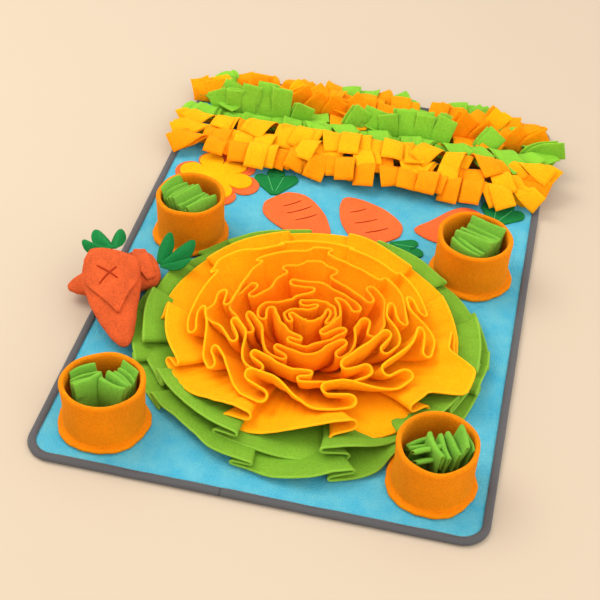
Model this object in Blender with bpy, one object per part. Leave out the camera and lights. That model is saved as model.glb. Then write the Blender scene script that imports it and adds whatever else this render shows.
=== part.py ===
# Snuffle mat, 450 x 700 mm: a blue plush base with a grey bound edge, a ruffled
# flower, four cloth cups with strips in them, a band of cut fleece strips, sewn-on
# carrots and a flower, and two plush carrots that lie on the left edge.
#
# X runs across the mat, Y from its front edge to its back edge, Z up. The origin is
# the middle of the mat's underside. Sizes below are in millimetres and degrees.

import bpy
import numpy as np

MM = 0.001

# ---- driving sizes -------------------------------------------------------------

MAT_WIDTH = 450.0
MAT_LENGTH = 700.0
CORNER_RADIUS = 28.0
CORNER_STEPS = 5
GAP = 0.3                      # between pieces that touch

BINDING_WALL = 1.6
BINDING_COVER = 8.0            # how far the binding reaches in over the mat
BINDING_HEIGHT = 5.9
MAT_TOP = BINDING_HEIGHT - BINDING_WALL - GAP
SEAT = MAT_TOP + GAP           # where a piece that lies on the mat starts

COLOURS = {
    "blue plush": (0.10, 0.56, 0.80),
    "grey binding": (0.16, 0.13, 0.135),
    "green fleece": (0.22, 0.55, 0.04),
    "yellow fleece": (1.00, 0.55, 0.00),
    "amber fleece": (1.00, 0.42, 0.00),
    "orange fleece": (0.98, 0.27, 0.00),
    "cup fleece": (0.95, 0.30, 0.00),
    "coral felt": (0.95, 0.16, 0.03),
    "leaf felt": (0.00, 0.28, 0.07),
    "carrot plush": (0.85, 0.12, 0.03),
}


# ---- building blocks -----------------------------------------------------------

def clear_scene():
    for thing in list(bpy.data.objects):
        bpy.data.objects.remove(thing, do_unlink=True)


def fleece(name):
    """A matt Principled material, made once for each colour."""
    made = bpy.data.materials.get(name)
    if made:
        return made
    made = bpy.data.materials.new(name)
    made.use_nodes = True
    shader = made.node_tree.nodes["Principled BSDF"]
    shader.inputs["Base Color"].default_value = (*COLOURS[name], 1.0)
    shader.inputs["Roughness"].default_value = 0.95
    shader.inputs["Metallic"].default_value = 0.0
    return made


def enclosed_volume(points, faces):
    """Signed volume of a closed shell: fans of tetrahedra from the origin."""
    total = 0.0
    for face in faces:
        corners = points[list(face)]
        wings = np.cross(corners[1:-1], corners[2:])
        total += (wings @ corners[0]).sum()
    return total / 6.0


def add_solid(name, points, faces, colour, crease=48.0):
    """One named object from a closed shell in millimetres, faces turned outwards."""
    points = np.asarray(points, float)
    faces = [tuple(int(i) for i in face) for face in faces]
    if enclosed_volume(points, faces) < 0:
        faces = [face[::-1] for face in faces]
    mesh = bpy.data.meshes.new(name)
    mesh.from_pydata((points * MM).tolist(), [], faces)
    mesh.shade_smooth()
    mesh.set_sharp_from_angle(angle=np.radians(crease))
    mesh.materials.append(fleece(colour))
    solid = bpy.data.objects.new(name, mesh)
    bpy.context.scene.collection.objects.link(solid)
    return solid


def band_faces(rows, columns, start=0, wrap_rows=False, wrap_columns=False):
    """Quads between neighbours of a rows x columns grid of points."""
    i = np.arange(rows if wrap_rows else rows - 1)[:, None]
    j = np.arange(columns if wrap_columns else columns - 1)[None, :]
    i_next, j_next = (i + 1) % rows, (j + 1) % columns
    quads = np.stack([i * columns + j, i_next * columns + j,
                      i_next * columns + j_next, i * columns + j_next], -1)
    return (quads.reshape(-1, 4) + start).tolist()


def lofted(loops, closed_ring=False):
    """A shell through loops of points: a ring, or a body with a flat cap at each end."""
    loops = np.asarray(loops, float)
    rows, columns, _ = loops.shape
    faces = band_faces(rows, columns, wrap_rows=closed_ring, wrap_columns=True)
    if not closed_ring:
        faces.append(list(range(columns)))
        faces.append([(rows - 1) * columns + k for k in range(columns)][::-1])
    return loops.reshape(-1, 3), faces


def split_quads(middle, quads):
    """Cuts each quad of a surface along its shorter diagonal, into two triangles."""
    flat = middle.reshape(-1, 3)
    corners = flat[np.array(quads)]
    first = np.linalg.norm(corners[:, 0] - corners[:, 2], axis=1)
    second = np.linalg.norm(corners[:, 1] - corners[:, 3], axis=1)
    triangles = []
    for (a, b, c, d), keep in zip(quads, first <= second):
        triangles += [[a, b, c], [a, c, d]] if keep else [[b, c, d], [b, d, a]]
    return triangles


def thick_sheet(middle, thickness, wrap=False):
    """A sheet of cloth: its middle surface pushed half its thickness to each side."""
    rows, columns, _ = middle.shape
    if wrap:
        along = np.roll(middle, -1, 0) - np.roll(middle, 1, 0)
    else:
        along = np.gradient(middle, axis=0)
    across = np.gradient(middle, axis=1)
    normal = np.cross(along, across)
    normal /= np.linalg.norm(normal, axis=-1, keepdims=True)
    half = normal * thickness / 2
    points = np.concatenate([(middle + half).reshape(-1, 3), (middle - half).reshape(-1, 3)])
    other = rows * columns
    front = split_quads(middle, band_faces(rows, columns, wrap_rows=wrap))
    back = [[q + other for q in face[::-1]] for face in front]
    first = [r * columns for r in range(rows)]
    last = [r * columns + columns - 1 for r in range(rows)]
    borders = [first[::-1], last]
    if wrap:
        borders = [border + border[:1] for border in borders]
    else:
        borders += [list(range(columns)), [(rows - 1) * columns + c for c in range(columns)][::-1]]
    rims = []
    for border in borders:
        for a, b in zip(border[:-1], border[1:]):
            rims.append([a, b, b + other, a + other])
    return points, front + back + rims


def slab(outline, bottom, thickness):
    """A flat piece cut to an outline, lying with its underside at a height."""
    outline = np.asarray(outline, float)
    loops = [np.column_stack([outline, np.full(len(outline), z)])
             for z in (bottom, bottom + thickness)]
    return lofted(loops)


def rounded_rectangle(inset):
    """The mat's outline moved inwards by inset, as points round its four corners."""
    half_x, half_y = MAT_WIDTH / 2 - CORNER_RADIUS, MAT_LENGTH / 2 - CORNER_RADIUS
    points = []
    for quarter, (sx, sy) in enumerate(((1, 1), (-1, 1), (-1, -1), (1, -1))):
        for step in range(CORNER_STEPS + 1):
            angle = np.pi / 2 * (quarter + step / CORNER_STEPS)
            reach = CORNER_RADIUS - inset
            points.append((sx * half_x + reach * np.cos(angle),
                           sy * half_y + reach * np.sin(angle)))
    return np.array(points)


def loop_at(inset, z):
    outline = rounded_rectangle(inset)
    return np.column_stack([outline, np.full(len(outline), z)])


# ---- mat and binding -----------------------------------------------------------

def build_mat():
    """Blue plush slab, with a step under its rim that takes the binding's lower leg."""
    rim = BINDING_WALL + GAP
    step = BINDING_COVER + GAP
    loops = [loop_at(step, 0), loop_at(step, rim), loop_at(rim, rim), loop_at(rim, MAT_TOP)]
    add_solid("mat_base", *lofted(loops), "blue plush")


def build_binding():
    """Grey tape folded over the mat's edge: a C section carried round the outline."""
    soft = 0.9
    top = BINDING_HEIGHT
    section = [(BINDING_COVER, 0), (soft, 0), (0, soft), (0, top - soft), (soft, top),
               (BINDING_COVER, top), (BINDING_COVER, top - BINDING_WALL),
               (BINDING_WALL, top - BINDING_WALL), (BINDING_WALL, BINDING_WALL),
               (BINDING_COVER, BINDING_WALL)]
    loops = np.array([loop_at(inset, z) for inset, z in section])
    add_solid("edge_binding", *lofted(loops, closed_ring=True), "grey binding")


# ---- cups and the strips in them -----------------------------------------------

CUP_STEPS = 20
CUP_WALL = [                   # radius, height: up the outside and down the inside
    (41.0, 0.0), (42.4, 1.4), (41.6, 3.4), (39.8, 4.4), (39.0, 24.0), (39.6, 50.0),
    (39.8, 54.6), (38.6, 56.4), (36.6, 55.4), (35.6, 40.0), (36.4, 0.0),
]

#        name           x      y     size  oval  oval turn  lean x  lean y
CUPS = [
    ("front_left",  -160.0, -289.0, 1.00, 0.015,   20.0,  0.000,  0.010),
    ("front_right",  162.0, -284.0, 1.00, 0.020,  100.0,  0.020,  0.000),
    ("back_right",   159.0,   32.0, 1.03, 0.020,  150.0,  0.000, -0.010),
    ("back_left",   -158.0,   17.0, 0.96, 0.025,   60.0, -0.010,  0.000),
]

STRIP_ROOT = 2.0               # height of the backing that a bunch is sewn into
CUP_STRIP_THICK = 2.2

# Lean is a bunch's tilt, fan spreads its strips to both sides of that, and curl is how
# far their tips hang over.
#       cup           bunch     dx     dy   facing  strips  width  spacing  height  lean  fan  curl
BUNCHES = [
    ("front_left",  "left",    -17.0,  -4.0,   25.0,  3,    20.0,   4.6,    56.0,   -3.0,  5.0, -18.0),
    ("front_left",  "right",    14.0,  -2.0,  -40.0,  4,    22.0,   4.6,    60.0,    1.0,  6.0,  20.0),
    ("front_right", "left",    -16.0,   2.0,   62.0,  3,    20.0,   4.6,    55.0,   -3.0,  5.0,  35.0),
    ("front_right", "right",    13.0,   2.0,   68.0,  4,    21.0,   4.8,    62.0,    0.0,  8.0,  14.0),
    ("back_right",  "middle",    5.0,   0.0,   60.0,  6,    25.0,   4.8,    56.0,    0.0,  8.0,  30.0),
    ("back_left",   "middle",    0.0,  -2.0,  -18.0,  5,    26.0,   5.0,    58.0,    2.0,  8.0, -40.0),
]


def build_cup(name, x, y, size, oval, oval_turn, lean_x, lean_y):
    """A turned wall, slightly oval and leaning, with a rolled foot and rim."""
    around = np.linspace(0, 2 * np.pi, CUP_STEPS, endpoint=False)
    stretch = size * (1 + oval * np.cos(2 * (around - np.radians(oval_turn))))
    loops = []
    for radius, height in CUP_WALL:
        loops.append(np.column_stack([
            x + radius * stretch * np.cos(around) + lean_x * height,
            y + radius * stretch * np.sin(around) + lean_y * height,
            np.full(CUP_STEPS, SEAT + height)]))
    add_solid("cup_" + name, *lofted(loops, closed_ring=True), "cup fleece")


def comb_sheet(frame_at, teeth, width, root, steps, thickness):
    """A fleece band slit into strips: teeth standing on one unbroken edge.

    teeth holds a strip's own record and its length; frame_at(strip, s) gives the middle
    of the strip, its width axis and its normal at a distance s from the sewn edge.
    """
    points, faces = [], []

    def station(strip, s):
        middle, side, normal = frame_at(strip, s)
        corners = []
        for way in (-0.5, 0.5):
            edge = middle + way * width * side
            corners.append((len(points), len(points) + 1))
            points.append(edge + normal * thickness / 2)
            points.append(edge - normal * thickness / 2)
        return corners

    def wall(low_left, low_right, high_right, high_left):
        faces.append([low_left[0], low_right[0], high_right[0]])
        faces.append([low_left[0], high_right[0], high_left[0]])
        faces.append([low_left[1], high_right[1], low_right[1]])
        faces.append([low_left[1], high_left[1], high_right[1]])

    def rim(a, b):
        faces.append([a[0], b[0], b[1], a[1]])

    ends = []
    for strip, length in teeth:
        climb = [0.0] + [root + (length - root) * k / steps for k in range(steps + 1)]
        ladder = [station(strip, s) for s in climb]
        for (low_left, low_right), (high_left, high_right) in zip(ladder[:-1], ladder[1:]):
            wall(low_left, low_right, high_right, high_left)
        rim(ladder[0][1], ladder[0][0])
        rim(ladder[-1][0], ladder[-1][1])
        for low, high in zip(ladder[1:-1], ladder[2:]):
            rim(low[0], high[0])
            rim(high[1], low[1])
        ends.append((ladder[0], ladder[1]))
    for ((_, here), (_, here_up)), ((there, _), (there_up, _)) in zip(ends[:-1], ends[1:]):
        wall(here, there, there_up, here_up)
        rim(there, here)
        rim(here_up, there_up)
    rim(ends[0][0][0], ends[0][1][0])
    rim(ends[-1][1][1], ends[-1][0][1])
    return np.array(points), faces


def build_bunch(cup, bunch, dx, dy, facing, count, width, spacing, height, lean, fan, curl):
    """A pad at the cup's bottom with strips, one behind another, that fan out and curl.

    Seen from its end the bunch is a comb, with one tooth for each strip, carried straight
    across the strips' width.
    """
    centre = {row[0]: row[1:3] for row in CUPS}[cup]
    half = CUP_STRIP_THICK / 2
    rise = np.linspace(0, 1, 5)
    outline = []
    for k in range(count):
        share = 2 * k / (count - 1) - 1
        start = share * (count - 1) * spacing / 2
        tall = height * (1 - 0.12 * abs(np.sin(2.3 * k + dx)))
        slope = np.radians(lean + fan * share + curl * np.clip(2 * rise - 1, 0, 1))
        run = (slope[1:] + slope[:-1]) / 2
        step = (tall - STRIP_ROOT) / 4
        middle_x = start + np.append(0, np.cumsum(np.sin(run) * step))
        middle_z = STRIP_ROOT + np.append(0, np.cumsum(np.cos(run) * step))
        across_x, across_z = half * np.cos(slope), half * np.sin(slope)
        left = np.column_stack([middle_x - across_x, middle_z + across_z])
        right = np.column_stack([middle_x + across_x, middle_z - across_z])
        left[0, 1] = right[0, 1] = STRIP_ROOT
        outline += [left, right[::-1]]
    outline = np.concatenate(outline)
    ends = [(outline[-1, 0], 0.0), (outline[0, 0], 0.0)]
    outline = np.concatenate([outline, ends])
    turn = np.radians(facing)
    ahead = np.array([np.cos(turn), np.sin(turn)])
    aside = np.array([-np.sin(turn), np.cos(turn)])
    loops = []
    for side in (-0.5, 0.5):
        flat = np.array(centre) + (dx, dy) + outline[:, :1] * ahead + side * width * aside
        loops.append(np.column_stack([flat, SEAT + outline[:, 1]]))
    add_solid("cup_strips_%s_%s" % (cup, bunch), *lofted(loops), "green fleece", crease=30.0)


# ---- the ruffled flower --------------------------------------------------------

FLOWER_X, FLOWER_Y = 10.0, -125.0
RUFFLE_THICK = 1.8
CUP_ROOM = 45.5                # the ruffles stay this far from a cup's middle

# Each ruffle is a closed band of fleece, sewn down along its inner edge. Its ring is
# where its free edge would lie if nothing were folded.
#    name                    ring   samples  colour
RUFFLES = [
    ("ruffle_green_low",     187.0,   74,  "green fleece"),
    ("ruffle_green_high",    166.0,   68,  "green fleece"),
    ("ruffle_yellow",        147.0,   66,  "yellow fleece"),
    ("ruffle_amber",         117.0,   72,  "amber fleece"),
    ("ruffle_light_orange",   91.0,   64,  "amber fleece"),
    ("ruffle_orange",         67.0,   52,  "orange fleece"),
    ("ruffle_deep_orange",    43.0,   44,  "orange fleece"),
    ("rose_core",             20.0,   26,  "orange fleece"),
]

# How a ring maps to its seam, to the knee that its sheet climbs by, and to its free
# edge. Heights are above the mat's top.
#     ring     seam    knee    knee height  edge height
FLOWER_FORM = [
    (0.0,      0.0,     0.0,     24.0,        57.0),
    (20.0,     7.0,    19.0,     24.0,        57.0),
    (43.0,    17.0,    41.0,     22.0,        56.0),
    (67.0,    29.0,    66.0,     20.0,        51.0),
    (91.0,    43.0,    91.0,     17.0,        43.0),
    (117.0,   61.0,   115.0,     14.5,        31.5),
    (147.0,   88.0,   138.0,     13.5,        17.5),
    (166.0,  108.0,   152.0,     10.5,        12.3),
    (187.0,  128.0,   172.0,      6.0,         6.8),
    (212.0,  152.0,   195.0,      2.0,         2.2),
]

# The folds: each turns a patch of the flower about its middle, so that the edges there
# double back in an S. Degrees run anticlockwise from +X; length lies along the ring.
#     ring    degrees  out   length  depth  turn
FOLDS = [
    (187.0,    262.0,   0.0,  43.0,  31.0,   80.0),
    (187.0,    294.0,   0.0,  43.0,  31.0,  -70.0),
    (187.0,    224.0,  -3.0,  48.0,  29.0,   80.0),
    (187.0,      3.0,  -3.0,  40.0,  31.0,  -80.0),
    (187.0,    346.0,   0.0,  35.0,  29.0,   80.0),
    (187.0,    198.0,   0.0,  40.0,  31.0,  -80.0),
    (187.0,    182.0,   0.0,  35.0,  31.0,   80.0),
    (187.0,    320.0,   0.0,  48.0,  26.0,  -35.0),
    (187.0,    243.0,   0.0,  40.0,  23.0,  -40.0),
    (187.0,    150.0,   0.0,  40.0,  29.0,   80.0),
    (187.0,    126.0,  -6.0,  40.0,  29.0,  -80.0),
    (187.0,    100.0, -12.0,  40.0,  29.0,   80.0),
    (187.0,     75.0,  -8.0,  40.0,  29.0,  -80.0),
    (187.0,     50.0, -10.0,  40.0,  29.0,   80.0),
    (187.0,     25.0,  -6.0,  40.0,  29.0,  -80.0),
    (166.0,    253.0,   0.0,  45.0,  26.0,  -20.0),
    (166.0,    289.0,   0.0,  42.0,  26.0,   45.0),
    (166.0,    214.0,   0.0,  40.0,  26.0,   50.0),
    (166.0,    192.0,   0.0,  40.0,  26.0,  -55.0),
    (166.0,    168.0,   0.0,  40.0,  26.0,   65.0),
    (166.0,    140.0,   0.0,  40.0,  26.0,  -65.0),
    (166.0,    108.0,   0.0,  48.0,  26.0,   45.0),
    (166.0,     72.0,   0.0,  45.0,  26.0,  -20.0),
    (166.0,     44.0,   0.0,  40.0,  26.0,   65.0),
    (166.0,     20.0,   0.0,  35.0,  26.0,  -25.0),
    (166.0,    357.0,   0.0,  35.0,  26.0,   25.0),
    (166.0,    330.0,   0.0,  48.0,  26.0,  -65.0),
    (166.0,    312.0,   0.0,  32.0,  21.0,   65.0),
    (166.0,    234.0,   0.0,  40.0,  18.0,  -45.0),
    (147.0,    216.0,   0.0,  40.0,  22.0,  -80.0),
    (147.0,    258.0,  -2.0,  61.0,  25.0,   80.0),
    (147.0,    298.0,  -1.0,  48.0,  23.0,  -70.0),
    (147.0,    338.0,   2.0,  48.0,  23.0,   80.0),
    (147.0,      8.0,   0.0,  45.0,  23.0,  -80.0),
    (147.0,     46.0,   0.0,  40.0,  22.0,   80.0),
    (147.0,     84.0,   0.0,  48.0,  20.0,  -80.0),
    (147.0,    122.0,   0.0,  48.0,  18.0,   70.0),
    (147.0,    186.0,   2.0,  35.0,  20.0,   80.0),
    (147.0,    152.0,   0.0,  32.0,  16.0,  -50.0),
    (147.0,     28.0,   2.0,  29.0,  16.0,   60.0),
    (117.0,    195.0,   0.0,  45.0,  21.0, -110.0),
    (117.0,    222.0,   0.0,  42.0,  21.0,  120.0),
    (117.0,    256.0,   0.0,  67.0,  23.0,   95.0),
    (117.0,    301.0,  -4.0,  42.0,  23.0,  -90.0),
    (117.0,    333.0,   0.0,  45.0,  21.0,   80.0),
    (117.0,      2.0,   0.0,  48.0,  22.0, -130.0),
    (117.0,     36.0,   0.0,  40.0,  21.0,  110.0),
    (117.0,     66.0,   0.0,  40.0,  20.0, -110.0),
    (117.0,     93.0,   0.0,  45.0,  21.0,  110.0),
    (117.0,    124.0,   0.0,  40.0,  20.0, -110.0),
    (117.0,    158.0,   0.0,  45.0,  20.0,  110.0),
    (91.0,     180.0,   0.0,  35.0,  18.0,  110.0),
    (91.0,     210.0,   0.0,  32.0,  18.0, -130.0),
    (91.0,     239.0,   0.0,  35.0,  18.0,  110.0),
    (91.0,     277.0,   0.0,  24.0,  13.0,   50.0),
    (91.0,     318.0,   0.0,  45.0,  21.0, -110.0),
    (91.0,     352.0,   0.0,  35.0,  20.0,  130.0),
    (91.0,      24.0,   0.0,  37.0,  18.0, -120.0),
    (91.0,      58.0,   0.0,  37.0,  18.0,  120.0),
    (91.0,      84.0,   0.0,  35.0,  18.0, -130.0),
    (91.0,     118.0,   0.0,  35.0,  18.0,  110.0),
    (91.0,     150.0,   0.0,  32.0,  18.0, -120.0),
    (67.0,     165.0,   0.0,  32.0,  17.0, -120.0),
    (67.0,     212.0,   0.0,  35.0,  17.0,   95.0),
    (67.0,     244.0,   0.0,  24.0,  16.0, -130.0),
    (67.0,     300.0,   0.0,  29.0,  17.0, -110.0),
    (67.0,     326.0,   0.0,  32.0,  17.0,   90.0),
    (67.0,       5.0,   0.0,  32.0,  17.0, -100.0),
    (67.0,      45.0,   0.0,  35.0,  17.0,  130.0),
    (67.0,      84.0,   0.0,  35.0,  18.0, -130.0),
    (67.0,     126.0,   0.0,  29.0,  16.0,  120.0),
    (43.0,     200.0,   0.0,  29.0,  17.0,  130.0),
    (43.0,     250.0,   0.0,  24.0,  16.0, -130.0),
    (43.0,     312.0,   0.0,  32.0,  17.0,  130.0),
    (43.0,      10.0,   0.0,  29.0,  17.0, -120.0),
    (43.0,      66.0,   0.0,  29.0,  17.0,  130.0),
    (43.0,     130.0,   0.0,  29.0,  17.0, -130.0),
    (20.0,     215.0,   0.0,  21.0,  18.0,  130.0),
    (20.0,     320.0,   0.0,  24.0,  18.0, -130.0),
    (20.0,      60.0,   0.0,  24.0,  18.0,  130.0),
    (20.0,     140.0,   0.0,  19.0,  16.0, -120.0),
    # Broad swings that carry several rings along together.
    (95.0,      20.0,   0.0,  60.0,  60.0,   18.0),
    (90.0,     140.0,   0.0,  60.0,  60.0,  -16.0),
    (80.0,     250.0,   0.0,  70.0,  70.0,   14.0),
    (120.0,    320.0,   0.0,  60.0,  60.0,  -14.0),
    (150.0,    190.0,   0.0,  50.0,  50.0,   12.0),
    (130.0,     80.0,   0.0,  50.0,  50.0,   14.0),
]


def fold_plan(x, y, growth):
    """Carries plan points through every fold, each opened by growth (0 to 1)."""
    for ring, degrees, out, length, depth, turn in FOLDS:
        way = np.radians(degrees)
        cos_way, sin_way = np.cos(way), np.sin(way)
        dx, dy = x - (ring + out) * cos_way, y - (ring + out) * sin_way
        across = (dx * cos_way + dy * sin_way) / depth
        along = (dy * cos_way - dx * sin_way) / length
        reach = np.minimum(across ** 2 + along ** 2, 1.0)
        swing = np.radians(turn) * growth * (1 - reach) ** 2
        cos_swing, sin_swing = np.cos(swing), np.sin(swing)
        along, across = (length * (along * cos_swing - across * sin_swing),
                         depth * (along * sin_swing + across * cos_swing))
        x = (ring + out + across) * cos_way - along * sin_way
        y = (ring + out + across) * sin_way + along * cos_way
    return x, y


def pressed_aside(x, y):
    """Cloth that would run into a cup is pushed out round it, less and less further off."""
    for _, cup_x, cup_y, size, *_ in CUPS:
        away_x, away_y = x - cup_x, y - cup_y
        away = np.hypot(away_x, away_y)
        pushed = (away ** 8 + (CUP_ROOM * size) ** 8) ** 0.125
        x = cup_x + away_x * pushed / away
        y = cup_y + away_y * pushed / away
    return x, y


def lift_plan(x, y, rise):
    """Raises folded plan points into the flower: rise is 0 at the seam, 1 at the edge.

    Each sheet climbs from its seam to its edge on a parabola by way of its knee. The
    edges stand higher towards the back, and the middle of the flower leans forward.
    """
    ring = np.hypot(x, y) + 1e-9
    cos_way, sin_way = x / ring, y / ring
    rings, *columns = np.array(FLOWER_FORM).T
    seam, knee, knee_up, edge_up = (np.interp(ring, rings, column) for column in columns)
    tilted = np.clip((ring - 60) / 60, 0, 1) * np.clip((178 - ring) / 40, 0, 1)
    edge_up = edge_up + tilted * (4 + 10 * sin_way)
    low, bend, high = (1 - rise) ** 2, 2 * rise * (1 - rise), rise ** 2
    radius = low * seam + bend * knee + high * ring
    height = low * (RUFFLE_THICK / 2 + GAP) + bend * knee_up + high * edge_up
    forward = 19 * (1 - np.clip(ring / 125, 0, 1) ** 2) ** 2
    x, y = pressed_aside(FLOWER_X + radius * cos_way, FLOWER_Y + radius * sin_way - forward)
    return np.stack([x, y, MAT_TOP + height], -1)


def ruffle_middle(ring, samples, rows):
    """Middle surface of one ruffle, sampled more closely where its edge turns."""
    fine = np.linspace(0, 2 * np.pi, 6001)
    edge_x, edge_y = fold_plan(ring * np.cos(fine), ring * np.sin(fine), 1.0)
    step_x, step_y = np.diff(edge_x), np.diff(edge_y)
    run = np.hypot(step_x, step_y)
    bend = np.abs(np.gradient(np.unwrap(np.arctan2(step_y, step_x))))
    share = 0.5 * run / run.sum() + 0.4 * bend / bend.sum() + 0.1 / len(run)
    way = np.interp(np.arange(samples) / samples, np.append(0, np.cumsum(share)), fine)
    way, rise = np.meshgrid(way, np.linspace(0, 1, rows), indexing="ij")
    x, y = fold_plan(ring * np.cos(way), ring * np.sin(way), rise ** 1.2)
    return lift_plan(x, y, rise)


def build_flower():
    for name, ring, samples, colour in RUFFLES:
        middle = ruffle_middle(ring, samples, 4)
        add_solid(name, *thick_sheet(middle, RUFFLE_THICK, wrap=True), colour)


# ---- the band of strips --------------------------------------------------------

FRINGE_THICK = 2.4             # each strip is fleece laid double
STRIP_PITCH = 26.0
STRIP_WIDTH = 23.5
FRINGE_ROOT = 3.0              # unslit edge that each row is sewn down by
LEAST_TURN = 30.0              # even a strip that hardly leans forward has this much arc

# Each strip climbs from its seam in an arc of the given radius, until it leans forward by
# its lean, and runs straight on from there. Every other strip's arc is wider and its lean
# less, by the row's layer columns, so that neighbours cross over one another without
# touching. Yaw is how far they swing to the sides, and mix how unevenly they lie.
#    name            seam y  strips  length  lean   radius  layer  layer lean  yaw   mix  steps  colour
FRINGE_ROWS = [
    ("fringe_row_1",  191.0,   16,    46.0,   91.0,    9.0,   4.4,     0.0,    8.0,  0.06,  2, "amber fleece"),
    ("fringe_row_2",  212.0,   15,    58.0,   91.0,   18.5,   4.5,     0.0,    9.0,  0.08,  3, "amber fleece"),
    ("fringe_row_3",  235.0,   16,    64.0,   88.0,   28.0,   4.6,     0.0,    9.0,  0.12,  4, "yellow fleece"),
    ("fringe_row_4",  258.0,   15,    62.0,   66.0,   42.0,   0.0,    20.0,    6.0,  0.20,  4, "green fleece"),
    ("fringe_row_5",  281.0,   16,    50.0,   36.0,   60.0,   0.0,    30.0,    6.0,  0.22,  4, "green fleece"),
    ("fringe_row_6",  304.0,   15,    40.0,  -66.0,   20.0,   0.0,   -22.0,    9.0,  0.30,  3, "orange fleece"),
    ("fringe_row_7",  326.0,   16,    36.0,  -92.0,    8.0,   4.4,     0.0,    8.0,  0.10,  2, "green fleece"),
]


def strip_frame(strip, s):
    """Middle, width axis and normal of a strip: it leans forward and sideways as it climbs."""
    x, seam, lean, side_lean, curve, twist = strip
    walk = (np.arange(12) + 0.5) / 12 * s

    def heading(along):
        share = np.minimum(along / curve, 1.0)
        forward, sideways = np.radians(lean) * share, np.radians(side_lean) * share
        return np.stack([np.sin(sideways), -np.sin(forward) * np.cos(sideways),
                         np.cos(forward) * np.cos(sideways)], -1), forward, sideways, share

    steps, *_ = heading(walk)
    middle = np.array([x, seam, SEAT]) + steps.sum(0) * s / 12
    _, forward, sideways, share = heading(np.array(s))
    side = np.array([np.cos(sideways), np.sin(forward) * np.sin(sideways),
                     -np.cos(forward) * np.sin(sideways)])
    normal = np.array([0.0, -np.cos(forward), -np.sin(forward)])
    roll = np.radians(twist) * share
    return (middle, side * np.cos(roll) + normal * np.sin(roll),
            normal * np.cos(roll) - side * np.sin(roll))


def build_fringe():
    rng = np.random.default_rng(11)
    for (name, seam, count, length, lean, radius, layer, layer_lean, yaw, mix, steps,
         colour) in FRINGE_ROWS:
        teeth = []
        for k in range(count):
            x = (k - (count - 1) / 2) * STRIP_PITCH
            upper = k % 2
            # Neighbouring rows sway together, and the strips of one row a little apart.
            sway = 7 * np.sin(x / 41 + seam / 60) + 5 * np.sin(x / 17 + seam / 45)
            own_lean = lean - upper * layer_lean + mix * (sway + rng.uniform(-4, 4))
            outwards = 30 * np.sign(x) * np.clip(abs(x) / 196, 0, 1) ** 4
            side_lean = outwards + yaw * (0.6 * np.sin(x / 31 + seam / 30) + rng.uniform(-0.5, 0.5))
            tall = length * (1 + 0.13 * x / 200 + rng.uniform(-0.08, 0.08))
            turn = max(abs(own_lean), LEAST_TURN)
            curve = min((radius + upper * layer) * np.radians(turn), 0.9 * tall)
            twist = 1 + 20 * mix * np.sin(x / 23 + seam / 50)
            teeth.append(((x, seam, own_lean, side_lean, curve, twist), tall))
        add_solid(name, *comb_sheet(strip_frame, teeth, STRIP_WIDTH, FRINGE_ROOT, steps,
                                    FRINGE_THICK), colour, crease=35.0)


# ---- sewn-on carrots and flower ------------------------------------------------

PATCH_THICK = 1.6

# Half width of a carrot along its length, from its crown (0) to its tip (1).
CARROT_PROFILE = [
    (0.0, 0.40), (0.05, 0.68), (0.15, 0.92), (0.28, 1.0), (0.45, 0.96), (0.62, 0.84),
    (0.78, 0.62), (0.88, 0.45), (0.95, 0.28), (1.0, 0.10),
]

# Bow bends the carrot's middle line into an S.
#    name       crown x   y      tip x    y    half width  bow  leaf way  leaf length
CARROT_PATCHES = [
    ("left",   -81.0, 111.0,     -6.0,  45.0,     32.0,    0.0,    92.0,     46.0),
    ("middle",  60.0,  64.0,     -1.0, 131.0,     33.0,    0.0,   -14.0,     42.0),
    ("right",  171.0, 127.0,     88.0,  93.0,     31.0,   -5.0,    74.0,     44.0),
]
LEAF_SPREAD = 46.0
LEAF_LOBES = (0.84, 1.0, 0.80)

#    name                    x       y     way   petal  notch  height  colour
FLOWER_PATCHES = [
    ("flower_patch_back",   -159.0, 126.0,  -9.0,  51.0,  28.0,  0.0, "coral felt"),
    ("flower_patch_petals", -160.5, 128.0,  -6.0,  43.0,  20.0,
     PATCH_THICK + GAP, "amber fleece"),
]


def carrot_outline(crown, tip, half_width, bow):
    """A carrot laid flat: its half width set off to both sides of its middle line."""
    crown, tip = np.array(crown), np.array(tip)
    ahead = (tip - crown) / np.linalg.norm(tip - crown)
    aside = np.array([-ahead[1], ahead[0]])
    share, half = np.array(CARROT_PROFILE).T
    middle = crown + share[:, None] * (tip - crown)
    middle += (bow * np.sin(2 * np.pi * share))[:, None] * aside
    wide = (half * half_width)[:, None] * aside
    return np.concatenate([middle + wide, (middle - wide)[::-1]])


def lobe_shares():
    """Places across a leaf, four to a lobe, with one at every notch."""
    one = np.array([0, 0.2, 0.5, 0.8])
    return np.append(np.concatenate([one + lobe for lobe in range(3)]), 3) / 3


def leaf_reach(share):
    """Length of a three-lobed leaf at a share of its spread, 0 to 1."""
    place = np.clip(share * len(LEAF_LOBES), 0, len(LEAF_LOBES) - 1e-9)
    lobe = np.floor(place).astype(int)
    swell = np.sin(np.pi * (place - lobe)) ** 0.6
    return np.array(LEAF_LOBES)[lobe] * (0.74 + 0.26 * swell)


def leaf_outline(base, way, length):
    """A leaf laid flat: a short base and the three lobes that fan out from it."""
    share = lobe_shares()
    angle = np.radians(way + LEAF_SPREAD * (2 * share - 1))
    reach = leaf_reach(share) * length
    lobes = np.array(base) + reach[:, None] * np.column_stack([np.cos(angle), np.sin(angle)])
    turn = np.radians(way)
    foot = 4.0 * np.array([-np.sin(turn), np.cos(turn)])
    return np.concatenate([[base - foot], lobes, [base + foot]])


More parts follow.
